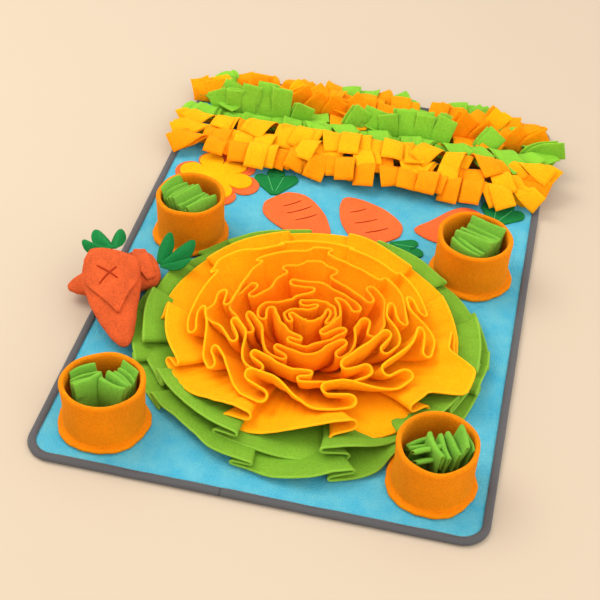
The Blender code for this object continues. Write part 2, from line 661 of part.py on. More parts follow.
def petal_outline(x, y, way, petal, notch):
    """Six rounded petals: the radius swings between its notch and its petal length."""
    around = np.arange(36) / 36 * 2 * np.pi
    swell = np.abs(np.cos(3 * around)) ** 0.7
    reach = notch + (petal - notch) * swell
    turned = around + np.radians(way)
    return np.column_stack([x + reach * np.cos(turned), y + reach * np.sin(turned)])


def build_patches():
    for name, crown_x, crown_y, tip_x, tip_y, half_width, bow, leaf_way, leaf_length in CARROT_PATCHES:
        crown, tip = (crown_x, crown_y), (tip_x, tip_y)
        outline = carrot_outline(crown, tip, half_width, bow)
        add_solid("carrot_patch_" + name, *slab(outline, SEAT, PATCH_THICK), "coral felt")
        back = np.array(crown) - np.array(tip)
        base = np.array(crown) + 4.5 * back / np.linalg.norm(back)
        outline = leaf_outline(base, leaf_way, leaf_length)
        add_solid("carrot_leaves_" + name, *slab(outline, SEAT, PATCH_THICK), "leaf felt")
    for name, x, y, way, petal, notch, height, colour in FLOWER_PATCHES:
        outline = petal_outline(x, y, way, petal, notch)
        add_solid(name, *slab(outline, SEAT + height, PATCH_THICK), colour)


# ---- plush carrots -------------------------------------------------------------

TOY_AROUND = 12
TOY_PROFILE = [
    (0.0, 0.26), (0.025, 0.58), (0.10, 0.86), (0.25, 1.0), (0.45, 0.98), (0.65, 0.84),
    (0.82, 0.62), (0.93, 0.40), (0.985, 0.20), (1.0, 0.08),
]
FLAP_THICK = 1.5
LEAF_THICK = 2.0

# Each toy runs from its crown through its middle to its tip.
TOYS = {
    "front": {
        "crown": (-210.0, -92.0, 59.0), "middle": (-201.0, -132.0, 42.0),
        "tip": (-168.0, -196.0, 19.0), "half width": 31.0, "half thickness": 17.0,
        "flap": (0.10, 0.80), "leaf base": (-213.2, -89.6, 59.3), "leaf way": 125.0,
        "leaf length": 50.0, "leaf rise": 8.0, "leaf spread": 62.0,
    },
    "rear": {
        "crown": (-170.0, -72.0, 26.0), "middle": (-208.0, -95.0, 20.5),
        "tip": (-256.0, -121.0, 15.0), "half width": 29.0, "half thickness": 15.5,
        "flap": (0.10, 0.30), "leaf base": (-171.2, -73.3, 25.1), "leaf way": 42.0,
        "leaf length": 48.0, "leaf rise": 22.0, "leaf spread": 56.0,
    },
}


def toy_axis(toy, share):
    """Point and frame (ahead, aside, up) on the toy's middle line at a share of its length."""
    crown, middle, tip = (np.array(toy[key]) for key in ("crown", "middle", "tip"))
    pull = 2 * middle - (crown + tip) / 2
    s = np.asarray(share)[..., None]
    point = (1 - s) ** 2 * crown + 2 * s * (1 - s) * pull + s ** 2 * tip
    ahead = 2 * (1 - s) * (pull - crown) + 2 * s * (tip - pull)
    ahead /= np.linalg.norm(ahead, axis=-1, keepdims=True)
    aside = np.cross(ahead, [0.0, 0.0, 1.0])
    aside /= np.linalg.norm(aside, axis=-1, keepdims=True)
    return point, aside, np.cross(aside, ahead)


def toy_surface(toy, share, angle, proud=0.0):
    """Point on the toy's skin, proud of it by a distance; angle 0 is the top."""
    shares, half = np.array(TOY_PROFILE).T
    size = np.interp(share, shares, half)
    point, aside, up = toy_axis(toy, share)
    wide = (size * toy["half width"] + proud) * np.sin(angle)
    tall = (size * toy["half thickness"] + proud) * np.cos(angle)
    return point + wide[..., None] * aside + tall[..., None] * up


def build_toy(name, toy):
    """A stuffed carrot with a cloth flap sewn over its crown and a three-lobed leaf."""
    shares = np.array(TOY_PROFILE)[:, 0]
    around = np.arange(TOY_AROUND) / TOY_AROUND * 2 * np.pi
    share, angle = np.meshgrid(shares, around, indexing="ij")
    add_solid("toy_%s_body" % name, *lofted(toy_surface(toy, share, angle)), "carrot plush")

    start, end = toy["flap"]
    share = np.concatenate([[start], shares[(shares > start) & (shares < end)], [end]])
    cut = np.clip((end - share) / (0.42 * (end - start)), 0.06, 1)
    share, across = np.meshgrid(share, np.linspace(-1, 1, 5), indexing="ij")
    angle = across * cut[:, None] * np.radians(60)
    middle = toy_surface(toy, share, angle, proud=2 * GAP + FLAP_THICK / 2)
    add_solid("toy_%s_flap" % name, *thick_sheet(middle, FLAP_THICK), "carrot plush")

    place, out = np.meshgrid(lobe_shares(), np.array([0.0, 0.5, 1.0]), indexing="ij")
    swing = np.radians(toy["leaf way"] + toy["leaf spread"] * (2 * place - 1))
    reach = 5.0 + out * (leaf_reach(place) * toy["leaf length"] - 5.0)
    climb = np.radians(toy["leaf rise"])
    middle = np.array(toy["leaf base"]) + np.stack([
        reach * np.cos(swing) * np.cos(climb), reach * np.sin(swing) * np.cos(climb),
        reach * np.sin(climb) + 5.0 * out * np.cos(np.pi * (2 * place - 1) * 3)], -1)
    add_solid("toy_%s_leaves" % name, *thick_sheet(middle, LEAF_THICK), "leaf felt")


# ---- all of it -----------------------------------------------------------------

def main():
    clear_scene()
    build_mat()
    build_binding()
    for row in CUPS:
        build_cup(*row)
    for row in BUNCHES:
        build_bunch(*row)
    build_flower()
    build_fringe()
    build_patches()
    for name, toy in TOYS.items():
        build_toy(name, toy)


main()
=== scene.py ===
# Snuffle mat: blue plush with a bound edge, a ruffled flower, four cups of strips, a band
# of cut fleece strips, sewn-on carrots and a flower, and two plush carrots.
# Lengths are in millimetres until meshPiece turns them into metres; looks and the studio
# are in metres.
import bpy
import numpy as np
from mathutils import Matrix


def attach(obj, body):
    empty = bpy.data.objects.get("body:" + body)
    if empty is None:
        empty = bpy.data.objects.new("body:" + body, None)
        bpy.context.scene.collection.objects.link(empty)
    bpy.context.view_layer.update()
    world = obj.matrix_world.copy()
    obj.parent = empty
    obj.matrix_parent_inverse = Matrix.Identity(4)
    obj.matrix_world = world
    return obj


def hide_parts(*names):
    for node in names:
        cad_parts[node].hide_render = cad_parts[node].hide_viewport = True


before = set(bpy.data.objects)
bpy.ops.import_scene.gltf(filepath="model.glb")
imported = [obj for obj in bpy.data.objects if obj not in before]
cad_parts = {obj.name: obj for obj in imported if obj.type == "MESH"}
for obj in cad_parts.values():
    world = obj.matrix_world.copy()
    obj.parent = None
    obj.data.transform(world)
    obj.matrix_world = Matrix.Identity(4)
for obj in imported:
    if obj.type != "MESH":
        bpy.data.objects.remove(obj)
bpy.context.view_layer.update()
mm = 0.001
seat = 4.3                       # height of the mat's top, with the gap that pieces keep
leastShare = 0.31                # a cut sheet covers at least this share of its flat size
noTriangles = np.zeros((0, 3), int)
print("frame loaded")


def gridQuads(rows, columns, wrapRows=False, wrapColumns=False):
    # quads between neighbours of a rows x columns grid of points
    i = np.arange(rows if wrapRows else rows - 1)[:, None]
    j = np.arange(columns if wrapColumns else columns - 1)[None, :]
    nextI, nextJ = (i + 1) % rows, (j + 1) % columns
    quads = np.stack([i * columns + j, nextI * columns + j,
                      nextI * columns + nextJ, i * columns + nextJ], -1)
    return quads.reshape(-1, 4)


def endFans(rows, columns):
    # triangles from a grid's first and last rows to two points that follow the grid's own
    size, last = rows * columns, (rows - 1) * columns
    j = np.arange(columns)
    after = (j + 1) % columns
    first = np.stack([j, after, np.full(columns, size)], -1)
    end = np.stack([last + after, last + j, np.full(columns, size + 1)], -1)
    return np.concatenate([first, end])


def unit(vectors):
    # vectors divided by their own lengths
    return vectors / (np.linalg.norm(vectors, axis=-1, keepdims=True) + 1e-12)


def clothSheet(middle, thickness, wrap=False):
    # a sheet with round rims: each row of its middle surface becomes a closed loop that
    # runs along the front, over the far rim, back along the underside and over the near rim
    rows, columns = middle.shape[:2]
    if wrap:
        along = np.roll(middle, -1, 0) - np.roll(middle, 1, 0)
    else:
        along = np.gradient(middle, axis=0)
    across = np.gradient(middle, axis=1)
    half = unit(np.cross(along, across)) * thickness / 2
    front, back = middle + half, middle - half
    farRim = middle[:, -1:] + unit(across[:, -1:]) * thickness / 2
    nearRim = middle[:, :1] - unit(across[:, :1]) * thickness / 2
    loops = np.concatenate([front, farRim, back[:, ::-1], nearRim], axis=1)
    size = 2 * columns + 2
    quads = gridQuads(rows, size, wrapRows=wrap, wrapColumns=True)
    triangles = noTriangles
    if not wrap:
        j = np.arange(columns - 1)
        cap = np.stack([j, j + 1, 2 * columns - 1 - j, 2 * columns - j], -1)
        tips = np.array([[columns - 1, columns, columns + 1], [2 * columns, 2 * columns + 1, 0]])
        last = (rows - 1) * size
        quads = np.concatenate([quads, cap, cap[:, ::-1] + last])
        triangles = np.concatenate([tips, tips[:, ::-1] + last])
    return loops.reshape(-1, 3), quads, triangles


def outward(points, quads, triangles):
    # the faces turned over if the closed shell they make has a negative volume
    total = 0.0
    for faces in (quads[:, :3], quads[:, [0, 2, 3]], triangles):
        if len(faces):
            a, b, c = (points[faces[:, k]] for k in range(3))
            total += (a * np.cross(b, c)).sum()
    return (quads[:, ::-1], triangles[:, ::-1]) if total < 0 else (quads, triangles)


def joined(shells):
    # several closed shells as one list of points and faces, each facing out
    allPoints, allQuads, allTriangles, start = [], [], [], 0
    for points, quads, triangles in shells:
        quads, triangles = outward(points, quads, triangles)
        allPoints.append(points)
        allQuads.append(quads + start)
        allTriangles.append(triangles + start)
        start += len(points)
    return np.concatenate(allPoints), np.concatenate(allQuads), np.concatenate(allTriangles)


def meshPiece(name, shells, material, attributes=None):
    # one object, at the origin, from closed shells in millimetres
    points, quads, triangles = joined(shells)
    mesh = bpy.data.meshes.new(name)
    mesh.vertices.add(len(points))
    mesh.vertices.foreach_set("co", (points * mm).astype(np.float32).ravel())
    corners = np.concatenate([quads.ravel(), triangles.ravel()]).astype(np.int32)
    sizes = np.concatenate([np.full(len(quads), 4), np.full(len(triangles), 3)])
    starts = np.concatenate([[0], np.cumsum(sizes)[:-1]]).astype(np.int32)
    mesh.loops.add(len(corners))
    mesh.loops.foreach_set("vertex_index", corners)
    mesh.polygons.add(len(sizes))
    mesh.polygons.foreach_set("loop_start", starts)
    for attribute, values in (attributes or {}).items():
        layer = mesh.attributes.new(attribute, "FLOAT", "POINT")
        layer.data.foreach_set("value", np.asarray(values, np.float32).ravel())
    mesh.update(calc_edges=True)
    mesh.validate()
    mesh.shade_smooth()
    mesh.materials.append(material)
    piece = bpy.data.objects.new(name, mesh)
    bpy.context.scene.collection.objects.link(piece)
    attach(piece, "root")
    return piece


def sheetValues(values):
    # values on a sheet's rows x columns, repeated for clothSheet's loops
    return np.concatenate([values, values[:, -1:], values[:, ::-1], values[:, :1]], 1).ravel()


def pathLength(points, axis):
    # lengths of the grid's lines along an axis in metres: their steps' lengths added up
    return np.linalg.norm(np.diff(points, axis=axis), axis=-1).sum(axis) * mm


def sheetArea(middle, wrap=False):
    # area of a middle surface in square metres: each quad is half of its diagonals' cross
    if wrap:
        middle = np.concatenate([middle, middle[:1]])
    first = middle[1:, 1:] - middle[:-1, :-1]
    second = middle[1:, :-1] - middle[:-1, 1:]
    return np.linalg.norm(np.cross(first, second), axis=-1).sum() / 2 * mm * mm


def tubeShell(path, radius, sides=6):
    # a round thread along a path, tapered shut at both ends
    path = np.asarray(path, float)
    ahead = unit(np.gradient(path, axis=0))
    side = unit(np.cross(ahead, [0.13, 0.21, 0.97]))
    up = np.cross(side, ahead)
    turn = np.arange(sides) / sides * 2 * np.pi
    ring = np.cos(turn)[:, None] * side[:, None] + np.sin(turn)[:, None] * up[:, None]
    size = np.full(len(path), radius)
    size[[0, -1]] = 0.3 * radius
    points = path[:, None] + ring * size[:, None, None]
    quads = gridQuads(len(path), sides, wrapColumns=True)
    fan = np.stack([np.zeros(sides - 2, int), np.arange(1, sides - 1), np.arange(2, sides)], -1)
    triangles = np.concatenate([fan, fan[:, ::-1] + (len(path) - 1) * sides])
    return points.reshape(-1, 3), quads, triangles


def smoothStep(value, low, high):
    # 0 below low and 1 above high, with no kink at either: 3 times the share squared, less
    # twice the share cubed
    share = np.clip((value - low) / (high - low), 0, 1)
    return share * share * (3 - 2 * share)


def roundCurve(points, samples):
    # a smooth closed curve through points, each stretch a cubic with the neighbours' slopes
    points = np.concatenate([points[-1:], points, points[:2]])
    place = np.linspace(0, len(points) - 3, samples, endpoint=False)
    k = place.astype(int)
    t = (place - k)[:, None]
    a, b, c, d = points[k], points[k + 1], points[k + 2], points[k + 3]
    return 0.5 * (2 * b + (c - a) * t + (2 * a - 5 * b + 4 * c - d) * t ** 2
                  + (3 * b - a - 3 * c + d) * t ** 3)


def fitArea(area, wide, long):
    # an area held to what a sheet of the flat size wide x long can have once it is cut
    return min(max(area, leastShare * wide * long), wide * long)


class Value:
    # a shader socket; a sum or product of it with a number or another one adds a Math node
    def __init__(self, shader, socket):
        self.shader, self.socket = shader, socket

    def __add__(self, other):
        return self.shader.maths("ADD", self, other)

    def __mul__(self, other):
        return self.shader.maths("MULTIPLY", self, other)

    __radd__ = __add__           # the order doesn't matter in a sum or a product
    __rmul__ = __mul__


class Shader:
    # one Principled material, its constants set on its own sockets, and the nodes that
    # feed it
    def __init__(self, name, **constants):
        self.material = bpy.data.materials.new(name)
        self.material.use_nodes = True
        self.tree = self.material.node_tree
        self.principled = self.tree.nodes["Principled BSDF"]
        for socket, value in constants.items():
            self.principled.inputs[socket.replace("_", " ")].default_value = value

    def node(self, kind, settings, sockets, output=0):
        # a node whose sockets are fed by Values or hold constants
        made = self.tree.nodes.new(kind)
        for setting, value in settings.items():
            setattr(made, setting, value)
        for socket, value in sockets.items():
            if isinstance(value, Value):
                self.tree.links.new(value.socket, made.inputs[socket])
            else:
                made.inputs[socket].default_value = value
        return Value(self, made.outputs[output])

    def maths(self, operation, *values):
        # one Math node on one or two values
        return self.node("ShaderNodeMath", {"operation": operation}, dict(enumerate(values)))

    def place(self):
        # where a point lies in the whole object, in metres
        return self.node("ShaderNodeTexCoord", {}, {}, "Object")

    def attribute(self, name):
        # a number that the mesh holds at each of its points
        return self.node("ShaderNodeAttribute", {"attribute_name": name}, {}, "Fac")

    def noise(self, vector, scale, detail=2.0, roughness=0.5):
        # soft random spots from 0 to 1, with scale of them to a metre
        return self.node("ShaderNodeTexNoise", {}, {"Vector": vector, "Scale": scale,
                                                    "Detail": detail, "Roughness": roughness})

    def ramp(self, value, low, high):
        # 0 at low and 1 at high, straight between them
        return self.node("ShaderNodeMapRange", {},
                         {"Value": value, "From Min": low, "From Max": high})

    def mix(self, share, first, second):
        # the first colour at a share of 0, the second at 1
        first, second = (c if isinstance(c, Value) else (*c, 1.0) for c in (first, second))
        return self.node("ShaderNodeMix", {"data_type": "RGBA"},
                         {0: share, 6: first, 7: second}, 2)

    def feed(self, socket, value):
        # a value into one of the material's sockets
        self.tree.links.new(value.socket, self.principled.inputs[socket])

    def bump(self, height, distance, strength):
        # the surface tilted as a relief of height times distance in metres would tilt it
        self.feed("Normal", self.node("ShaderNodeBump", {}, {
            "Height": height, "Distance": distance, "Strength": strength}))


def shade(colour, share):
    # a colour made darker or lighter, with no part above 1
    return tuple(min(1.0, c * share) for c in colour)


fleeceLook = {
    "roughness": 0.93,
    "gloss": 0.12,
    "sheen": 0.06,
    "soak": 0.35,                # share of the light that goes in under the pile
    "soak reach": (0.006, 0.004, 0.002),  # how far its red, green and blue go, in metres
    "pile scale": 1500.0,        # repeats in a metre
    "clump scale": 420.0,
    "cloud scale": 26.0,
    "pile height": 0.00035,
    "clump height": 0.0007,
    "dark share": 0.80,
    "light share": 1.12,
    "mottle": (0.36, 0.64),        # where the pattern is darkest and lightest
    "deep": (0.95, 0.2),         # how far up the sheet the painted shade in the deep colour ends, and is whole
    "edge": (0.97, 0.998),       # how far up the painted highlight in the edge colour starts, and is whole
    # share of the painted highlight in the edge colour at the free edge
    "highlight share": 0.44,
    "mixed": (0.45, 0.25, 0.30),   # shares of clumps, pile and clouds in the pattern
}


def fleeceMaterial(name, colour, edge=None, deep=None, tint=None):
    # brushed fleece: pile and clumps as bump; the colour goes from its dark to its light
    # share as clumps, pile and clouds add up, then turns to the deep colour, a painted shade,
    # down by the seam, to the tint on the strips that have it, and to the edge colour, a
    # painted highlight, at the free edge
    look = fleeceLook
    shader = Shader(name, Roughness=look["roughness"], Subsurface_Weight=look["soak"],
                    Subsurface_Radius=look["soak reach"], Subsurface_Scale=1.0,
                    Sheen_Weight=look["sheen"], Sheen_Roughness=0.5,
                    Sheen_Tint=(*colours[colour], 1.0), Specular_IOR_Level=look["gloss"])
    place = shader.place()
    pile = shader.noise(place, look["pile scale"], 3.0, 0.65)
    clump = shader.noise(place, look["clump scale"], 3.0, 0.6)
    cloud = shader.noise(place, look["cloud scale"])
    clumps, hairs, clouds = look["mixed"]
    mottle = shader.ramp(clumps * clump + hairs * pile + clouds * cloud, *look["mottle"])

    def clouded(own):
        # a colour from its dark to its light share
        return shader.mix(mottle, shade(colours[own], look["dark share"]),
                          shade(colours[own], look["light share"]))

    base = clouded(colour)
    # painted shade: the deep colour down by the seam, its border blurred by the clouds
    if deep:
        height = shader.attribute("rise") + 0.2 * cloud
        base = shader.mix(shader.ramp(height, *look["deep"]), base, colours[deep])
    if tint:
        base = shader.mix(shader.ramp(shader.attribute("tint"), 0.49, 0.51), base, clouded(tint))
    # painted highlight: the edge colour mixed in along the free edge
    if edge:
        share = look["highlight share"] * shader.ramp(shader.attribute("rise"), *look["edge"])
        base = shader.mix(share, base, colours[edge])
    shader.feed("Base Color", base)
    shader.bump(look["pile height"] * pile + look["clump height"] * clump, 1.0, 0.9)
    return shader.material


colours = {                      # linear
    "blue": (0.128, 0.495, 0.600),
    # painted shade between the mat's curls
    "blue curl shade": (0.046, 0.395, 0.600),
    "binding": (0.060, 0.058, 0.061),
    "green": (0.160, 0.335, 0.022),
    "bright green": (0.205, 0.480, 0.030),
    "strip amber": (1.000, 0.262, 0.000),
    "strip yellow": (1.000, 0.365, 0.002),
    # painted highlight along the green ruffles' free edge
    "green highlight": (0.260, 0.500, 0.050),
    # painted shade down by the green ruffles' seam
    "green seam shade": (0.085, 0.235, 0.006),
    "yellow": (1.000, 0.330, 0.000),
    # the edge colours below are painted highlights along the ruffles' free edges
    "yellow highlight": (1.000, 0.460, 0.010),
    "amber": (1.000, 0.365, 0.000),
    "amber highlight": (1.000, 0.430, 0.006),
    "light": (1.000, 0.325, 0.000),
    "light orange highlight": (1.000, 0.400, 0.005),
    "orange": (1.000, 0.272, 0.000),
    "orange highlight": (1.000, 0.335, 0.003),
    # painted shade down by the orange ruffles' seams
    "deep orange": (1.000, 0.212, 0.000),
    "cup": (0.700, 0.196, 0.000),
    "coral": (0.830, 0.124, 0.027),
    "cup green": (0.155, 0.380, 0.034),
    "leaf": (0.007, 0.170, 0.036),
    "carrot": (0.740, 0.112, 0.024),
    "thread": (0.330, 0.026, 0.004),
    "leaf thread": (0.090, 0.450, 0.150),
    "floor": (0.492, 0.398, 0.296),
}

# each fleece: its colour, then, where given, a painted highlight for its free edge and a painted
# shade down by its seam
greenFleece = fleeceMaterial("green fleece", "green", "green highlight", "green seam shade")
yellowFleece = fleeceMaterial("yellow fleece", "yellow", "yellow highlight", "amber")
amberFleece = fleeceMaterial("amber fleece", "amber", "amber highlight", "orange")
orangeFleece = fleeceMaterial("orange fleece", "orange", "orange highlight", "deep orange")
lightFleece = fleeceMaterial("light orange fleece", "light", "light orange highlight", "orange")
cupFleece = fleeceMaterial("cup fleece", "cup")
coralFelt = fleeceMaterial("coral felt", "coral")
leafFelt = fleeceMaterial("leaf felt", "leaf")
petalFleece = fleeceMaterial("petal fleece", "amber")
stripAmber = fleeceMaterial("strip amber", "strip amber", tint="strip yellow")
stripYellow = fleeceMaterial("strip yellow", "strip yellow", tint="strip amber")
stripGreen = fleeceMaterial("strip green", "bright green", tint="orange")
cupGreen = fleeceMaterial("cup strip green", "cup green")
stripOrange = fleeceMaterial("strip orange", "orange", tint="amber")
print("fleece made")


plushLook = {
    "roughness": 0.95, "gloss": 0.15, "sheen": 0.1,
    "cloud scale": 45.0,         # repeats in a metre
    "mixed": (0.55, 0.45),       # shares of loops and clouds in the pattern
    "mottle": (0.36, 0.60),        # where the pattern is deepest, and where it is whole
    "loop height": 0.0021, "cloud height": 0.0006,
}


def plushMaterial(name, colour, deep, curl):
    # looped plush: tight curls and slow clouds as bump, and as the share of its colour over
    # the deep colour, which is painted shade between the curls and a darker tone of its own
    # in the clouds' low patches
    look = plushLook
    shader = Shader(name, Roughness=look["roughness"], Sheen_Weight=look["sheen"],
                    Sheen_Roughness=0.5, Sheen_Tint=(*colour, 1.0),
                    Specular_IOR_Level=look["gloss"])
    place = shader.place()
    loops = shader.noise(place, curl, 4.0, 0.7)
    cloud = shader.noise(place, look["cloud scale"], 3.0, 0.6)
    curls, clouds = look["mixed"]
    # painted shade: the deep colour where the curls' pattern is low, between the loops; the clouds
    # add real patches of tone
    between = shader.ramp(curls * loops + clouds * cloud, *look["mottle"])
    shader.feed("Base Color", shader.mix(between, deep, colour))
    shader.bump(look["loop height"] * loops + look["cloud height"] * cloud, 1.0, 1.0)
    return shader.material


# the second colour is painted shade between the plush's curls
matPlush = plushMaterial("mat plush", colours["blue"], colours["blue curl shade"], 700.0)
carrotPlush = plushMaterial("carrot plush", colours["carrot"], shade(colours["carrot"], 0.62),
                            480.0)


def threadMaterial(name, colour):
    # sewing thread: a fine grain, darker and lighter than its colour
    shader = Shader(name, Roughness=0.9, Specular_IOR_Level=0.1)
    fibres = shader.noise(shader.place(), 2500.0)
    shader.feed("Base Color", shader.mix(fibres, shade(colour, 0.7), shade(colour, 1.25)))
    shader.bump(fibres, 0.0001, 0.6)
    return shader.material


darkThread = threadMaterial("dark thread", colours["thread"])
leafThread = threadMaterial("leaf thread", colours["leaf thread"])
greyThread = threadMaterial("grey thread", shade(colours["binding"], 1.5))

tapeLook = {
    "roughness": 0.8, "sheen": 0.15,
    "grain scale": 900.0,
    "dark share": 0.72, "light share": 1.35,
    "lap share": 0.25,           # how dark the line is where the tape's ends meet
    "lap width": (1.4, 0.5),     # ribs from it where the line ends, and where it is whole
    "rib height": 0.00012, "grain height": 0.00035, "lap height": 0.0008,
}


def tapeMaterial(name, colour):
    # woven tape: fine ribs across its run, as a sine of the attribute that counts them from
    # the place where the tape's ends lap, and a step and a dark line there
    look = tapeLook
    shader = Shader(name, Roughness=look["roughness"], Sheen_Weight=look["sheen"])
    run = shader.attribute("run")
    ribs = shader.maths("SINE", run * (2 * np.pi))
    grain = shader.noise(shader.place(), look["grain scale"], 3.0, 0.6)
    weave = 0.5 * grain + 0.12 * ribs + 0.2
    base = shader.mix(weave, shade(colour, look["dark share"]), shade(colour, look["light share"]))
    lapLine = shader.ramp(shader.maths("ABSOLUTE", run), *look["lap width"])
    shader.feed("Base Color", shader.mix(0.8 * lapLine, base, shade(colour, look["lap share"])))
    step = shader.ramp(run, -0.5, 0.5)
    shader.bump(look["rib height"] * ribs + look["grain height"] * grain
                + look["lap height"] * step, 1.0, 0.8)
    return shader.material


bindingTape = tapeMaterial("binding tape", colours["binding"])


mat = {
    "width": 450.0, "length": 700.0, "corner": 28.0,
    "top": 4.0,
    "hidden": 2.2,               # how far in the plush ends, under the tape
    "grid": (110, 170),          # points across and along
    "pucker": 0.35, "pucker at": 13, "pucker width": 9,   # along the edge, and how far in
    "swell": 0.10,               # slow rise and fall of the rest
    "binding wall": 1.9, "binding reach": 8.0, "binding height": 5.9,
    "corner points": 16, "side points": 90,
    "lap": -26.0,                # x on the front edge where the tape's ends meet
    "rib": 0.9,                  # width of one rib of its weave
    "stitch": 3.0, "stitch pitch": 4.2, "thread": 0.28,
    # flat sizes in metres, and the tape's area round its fold
    "plush flat": (0.446, 0.696), "tape flat": (0.022, 2.23), "tape area": 0.0450,
}


def outline(inset):
    # the mat's rounded outline moved in by inset, and how far round each point is
    halfX, halfY = mat["width"] / 2 - mat["corner"], mat["length"] / 2 - mat["corner"]
    reach = mat["corner"] - inset
    arcs = []
    for quarter, (sx, sy) in enumerate(((1, 1), (-1, 1), (-1, -1), (1, -1))):
        angle = np.pi / 2 * (quarter + np.linspace(0, 1, mat["corner points"]))
        arcs.append(np.column_stack([sx * halfX + reach * np.cos(angle),
                                     sy * halfY + reach * np.sin(angle)]))
    path = []
    for quarter, arc in enumerate(arcs):
        start, end = arc[-1], arcs[(quarter + 1) % 4][0]
        share = np.linspace(0, 1, mat["side points"] + 2)[1:-1, None]
        path += [arc, start + share * (end - start)]
    path = np.concatenate(path)
    run = np.append(0, np.cumsum(np.linalg.norm(np.diff(path, axis=0), axis=1)))
    return path, run


def buildMat():
    # a grid over the mat, its corners drawn in to the rounding, with a faint pucker
    # where the binding pulls at the edge
    halfX, halfY = mat["width"] / 2 - mat["hidden"], mat["length"] / 2 - mat["hidden"]
    corner = mat["corner"] - mat["hidden"]
    columnsX, columnsY = mat["grid"]
    x, y = np.meshgrid(np.linspace(-halfX, halfX, columnsX),
                       np.linspace(-halfY, halfY, columnsY), indexing="ij")
    dx, dy = np.abs(x) - (halfX - corner), np.abs(y) - (halfY - corner)
    inCorner = (dx > 0) & (dy > 0)
    wide, far = np.maximum(dx, dy), np.hypot(dx, dy) + 1e-9
    x = np.where(inCorner, np.sign(x) * (halfX - corner + dx * wide / far), x)
    y = np.where(inCorner, np.sign(y) * (halfY - corner + dy * wide / far), y)
    fromEdge = np.minimum(halfX - np.abs(x), halfY - np.abs(y))
    wave = np.sin(x / 11.0 + 1.3 * np.sin(y / 31)) * np.sin(y / 12.0 + 1.1 * np.sin(x / 27))
    atEdge = np.exp(-((fromEdge - mat["pucker at"]) / mat["pucker width"]) ** 2)
    rise = mat["swell"] * np.sin(x / 37 + 1) * np.sin(y / 43) + mat["pucker"] * wave * atEdge
    bottom, top = 2.0 * smoothStep(10 - fromEdge, 0, 2), mat["top"] - 0.15 + rise
    points = np.concatenate([np.stack([x, y, z], -1).reshape(-1, 3) for z in (top, bottom)])
    rows, columns = x.shape
    face, size = gridQuads(rows, columns), rows * columns
    ring = np.concatenate([np.arange(columns), columns * np.arange(1, rows) + columns - 1,
                           (rows - 1) * columns + np.arange(columns - 1)[::-1],
                           columns * np.arange(1, rows - 1)[::-1]])
    after = np.roll(ring, -1)
    wall = np.stack([after + size, ring + size, ring, after], -1)
    quads = np.concatenate([face, face[:, ::-1] + size, wall])
    piece = meshPiece("plushMat", [(points, quads, noTriangles)], matPlush)
    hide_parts("mat_base")


def buildBinding():
    # tape folded over the mat's edge: a rounded C section carried round the outline, its
    # height a little uneven and greater where its ends lap
    reach, height, wall = mat["binding reach"], mat["binding height"], mat["binding wall"]
    turn = np.linspace(0, np.pi, 9)
    bulge = height / 2
    outside = [(reach + 0.3, height * 0.90), (reach - 1.4, height)]
    outside += [(bulge - bulge * np.sin(a), bulge + bulge * np.cos(a)) for a in turn]
    outside += [(reach, 0.0), (reach, wall * 0.9)]
    inside = [(wall + 0.9, wall), (wall, wall + 0.6), (wall, height - wall - 0.6),
              (wall + 0.9, height - wall), (reach, height - wall)]
    section = np.array(outside + inside)
    loops = np.array([np.insert(outline(inset)[0], 2, z, axis=1) for inset, z in section])
    run = outline(0.0)[1]
    swell = 1 + 0.05 * np.sin(run / 17.0) * np.sin(run / 61.0) + 0.03 * np.sin(run / 7.0 + 2)
    onFront = loops[0, :, 1] < -330
    fromLap = loops[0, :, 0] - mat["lap"]
    loops[:, :, 2] *= swell + 0.08 * np.exp(-((fromLap - 8) / 9) ** 4) * onFront
    rows, columns = len(section), len(run)
    shell = (loops.reshape(-1, 3), gridQuads(rows, columns, True, True), noTriangles)
    lapAt = np.argmin(np.abs(fromLap) + 1000 * ~onFront)
    ribs = np.repeat((run - run[lapAt])[None] / mat["rib"], rows, 0)
    piece = meshPiece("bindingTape", [shell], bindingTape, {"run": ribs.ravel()})
    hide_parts("edge_binding")

    path, run = outline(reach - 1.6)
    total = run[-1] + np.linalg.norm(path[0] - path[-1])
    path = np.concatenate([path, path[:1]])
    run = np.append(run, total)
    stitches = []
    for start in np.arange(0, total - 4, mat["stitch pitch"]):
        at = start + np.linspace(0, mat["stitch"], 4)
        line = np.column_stack([np.interp(at, run, path[:, 0]), np.interp(at, run, path[:, 1]),
                                height + np.array([-0.35, 0.15, 0.15, -0.35])])
        stitches.append(tubeShell(line, mat["thread"], 4))
    thread = meshPiece("bindingStitches", stitches, greyThread)


buildMat()
buildBinding()
print("mat and binding made")


cups = {
    "around": 96,
    "wall": [  # radius, height: up the outside, over the rim and down the inside
        (36.4, 0.3), (42.4, 0.3), (44.4, 1.1), (45.0, 2.8), (44.3, 4.6), (42.4, 5.6), (40.2, 5.3),
        (39.2, 6.0), (39.2, 8.0), (39.4, 13.0), (39.3, 21.0), (39.3, 29.0), (39.5, 37.0),
        (39.9, 45.0), (40.3, 50.5), (40.6, 53.4), (40.4, 55.6), (39.4, 57.2), (37.9, 57.6),
        (36.3, 57.0), (35.4, 55.2), (35.1, 51.5), (35.2, 46.0), (35.3, 40.0), (35.4, 30.0),
        (35.5, 20.0), (35.8, 10.0), (36.2, 2.0),
    ],
    # name, x, y, size, oval, oval turn, lean x, lean y
    "places": [
        ("front_left", -160.0, -289.0, 1.00, 0.015, 20.0, 0.000, 0.010),
        ("front_right", 162.0, -284.0, 1.00, 0.020, 100.0, 0.020, 0.000),
        ("back_right", 159.0, 32.0, 1.03, 0.020, 150.0, 0.000, -0.010),
        ("back_left", -158.0, 17.0, 0.96, 0.025, 60.0, -0.010, 0.000),
    ],
    "dents": 0.9,                # how far the waves push the wall in and out
    "flat": (0.252, 0.064),      # way round and height of the doubled cloth, in metres
}


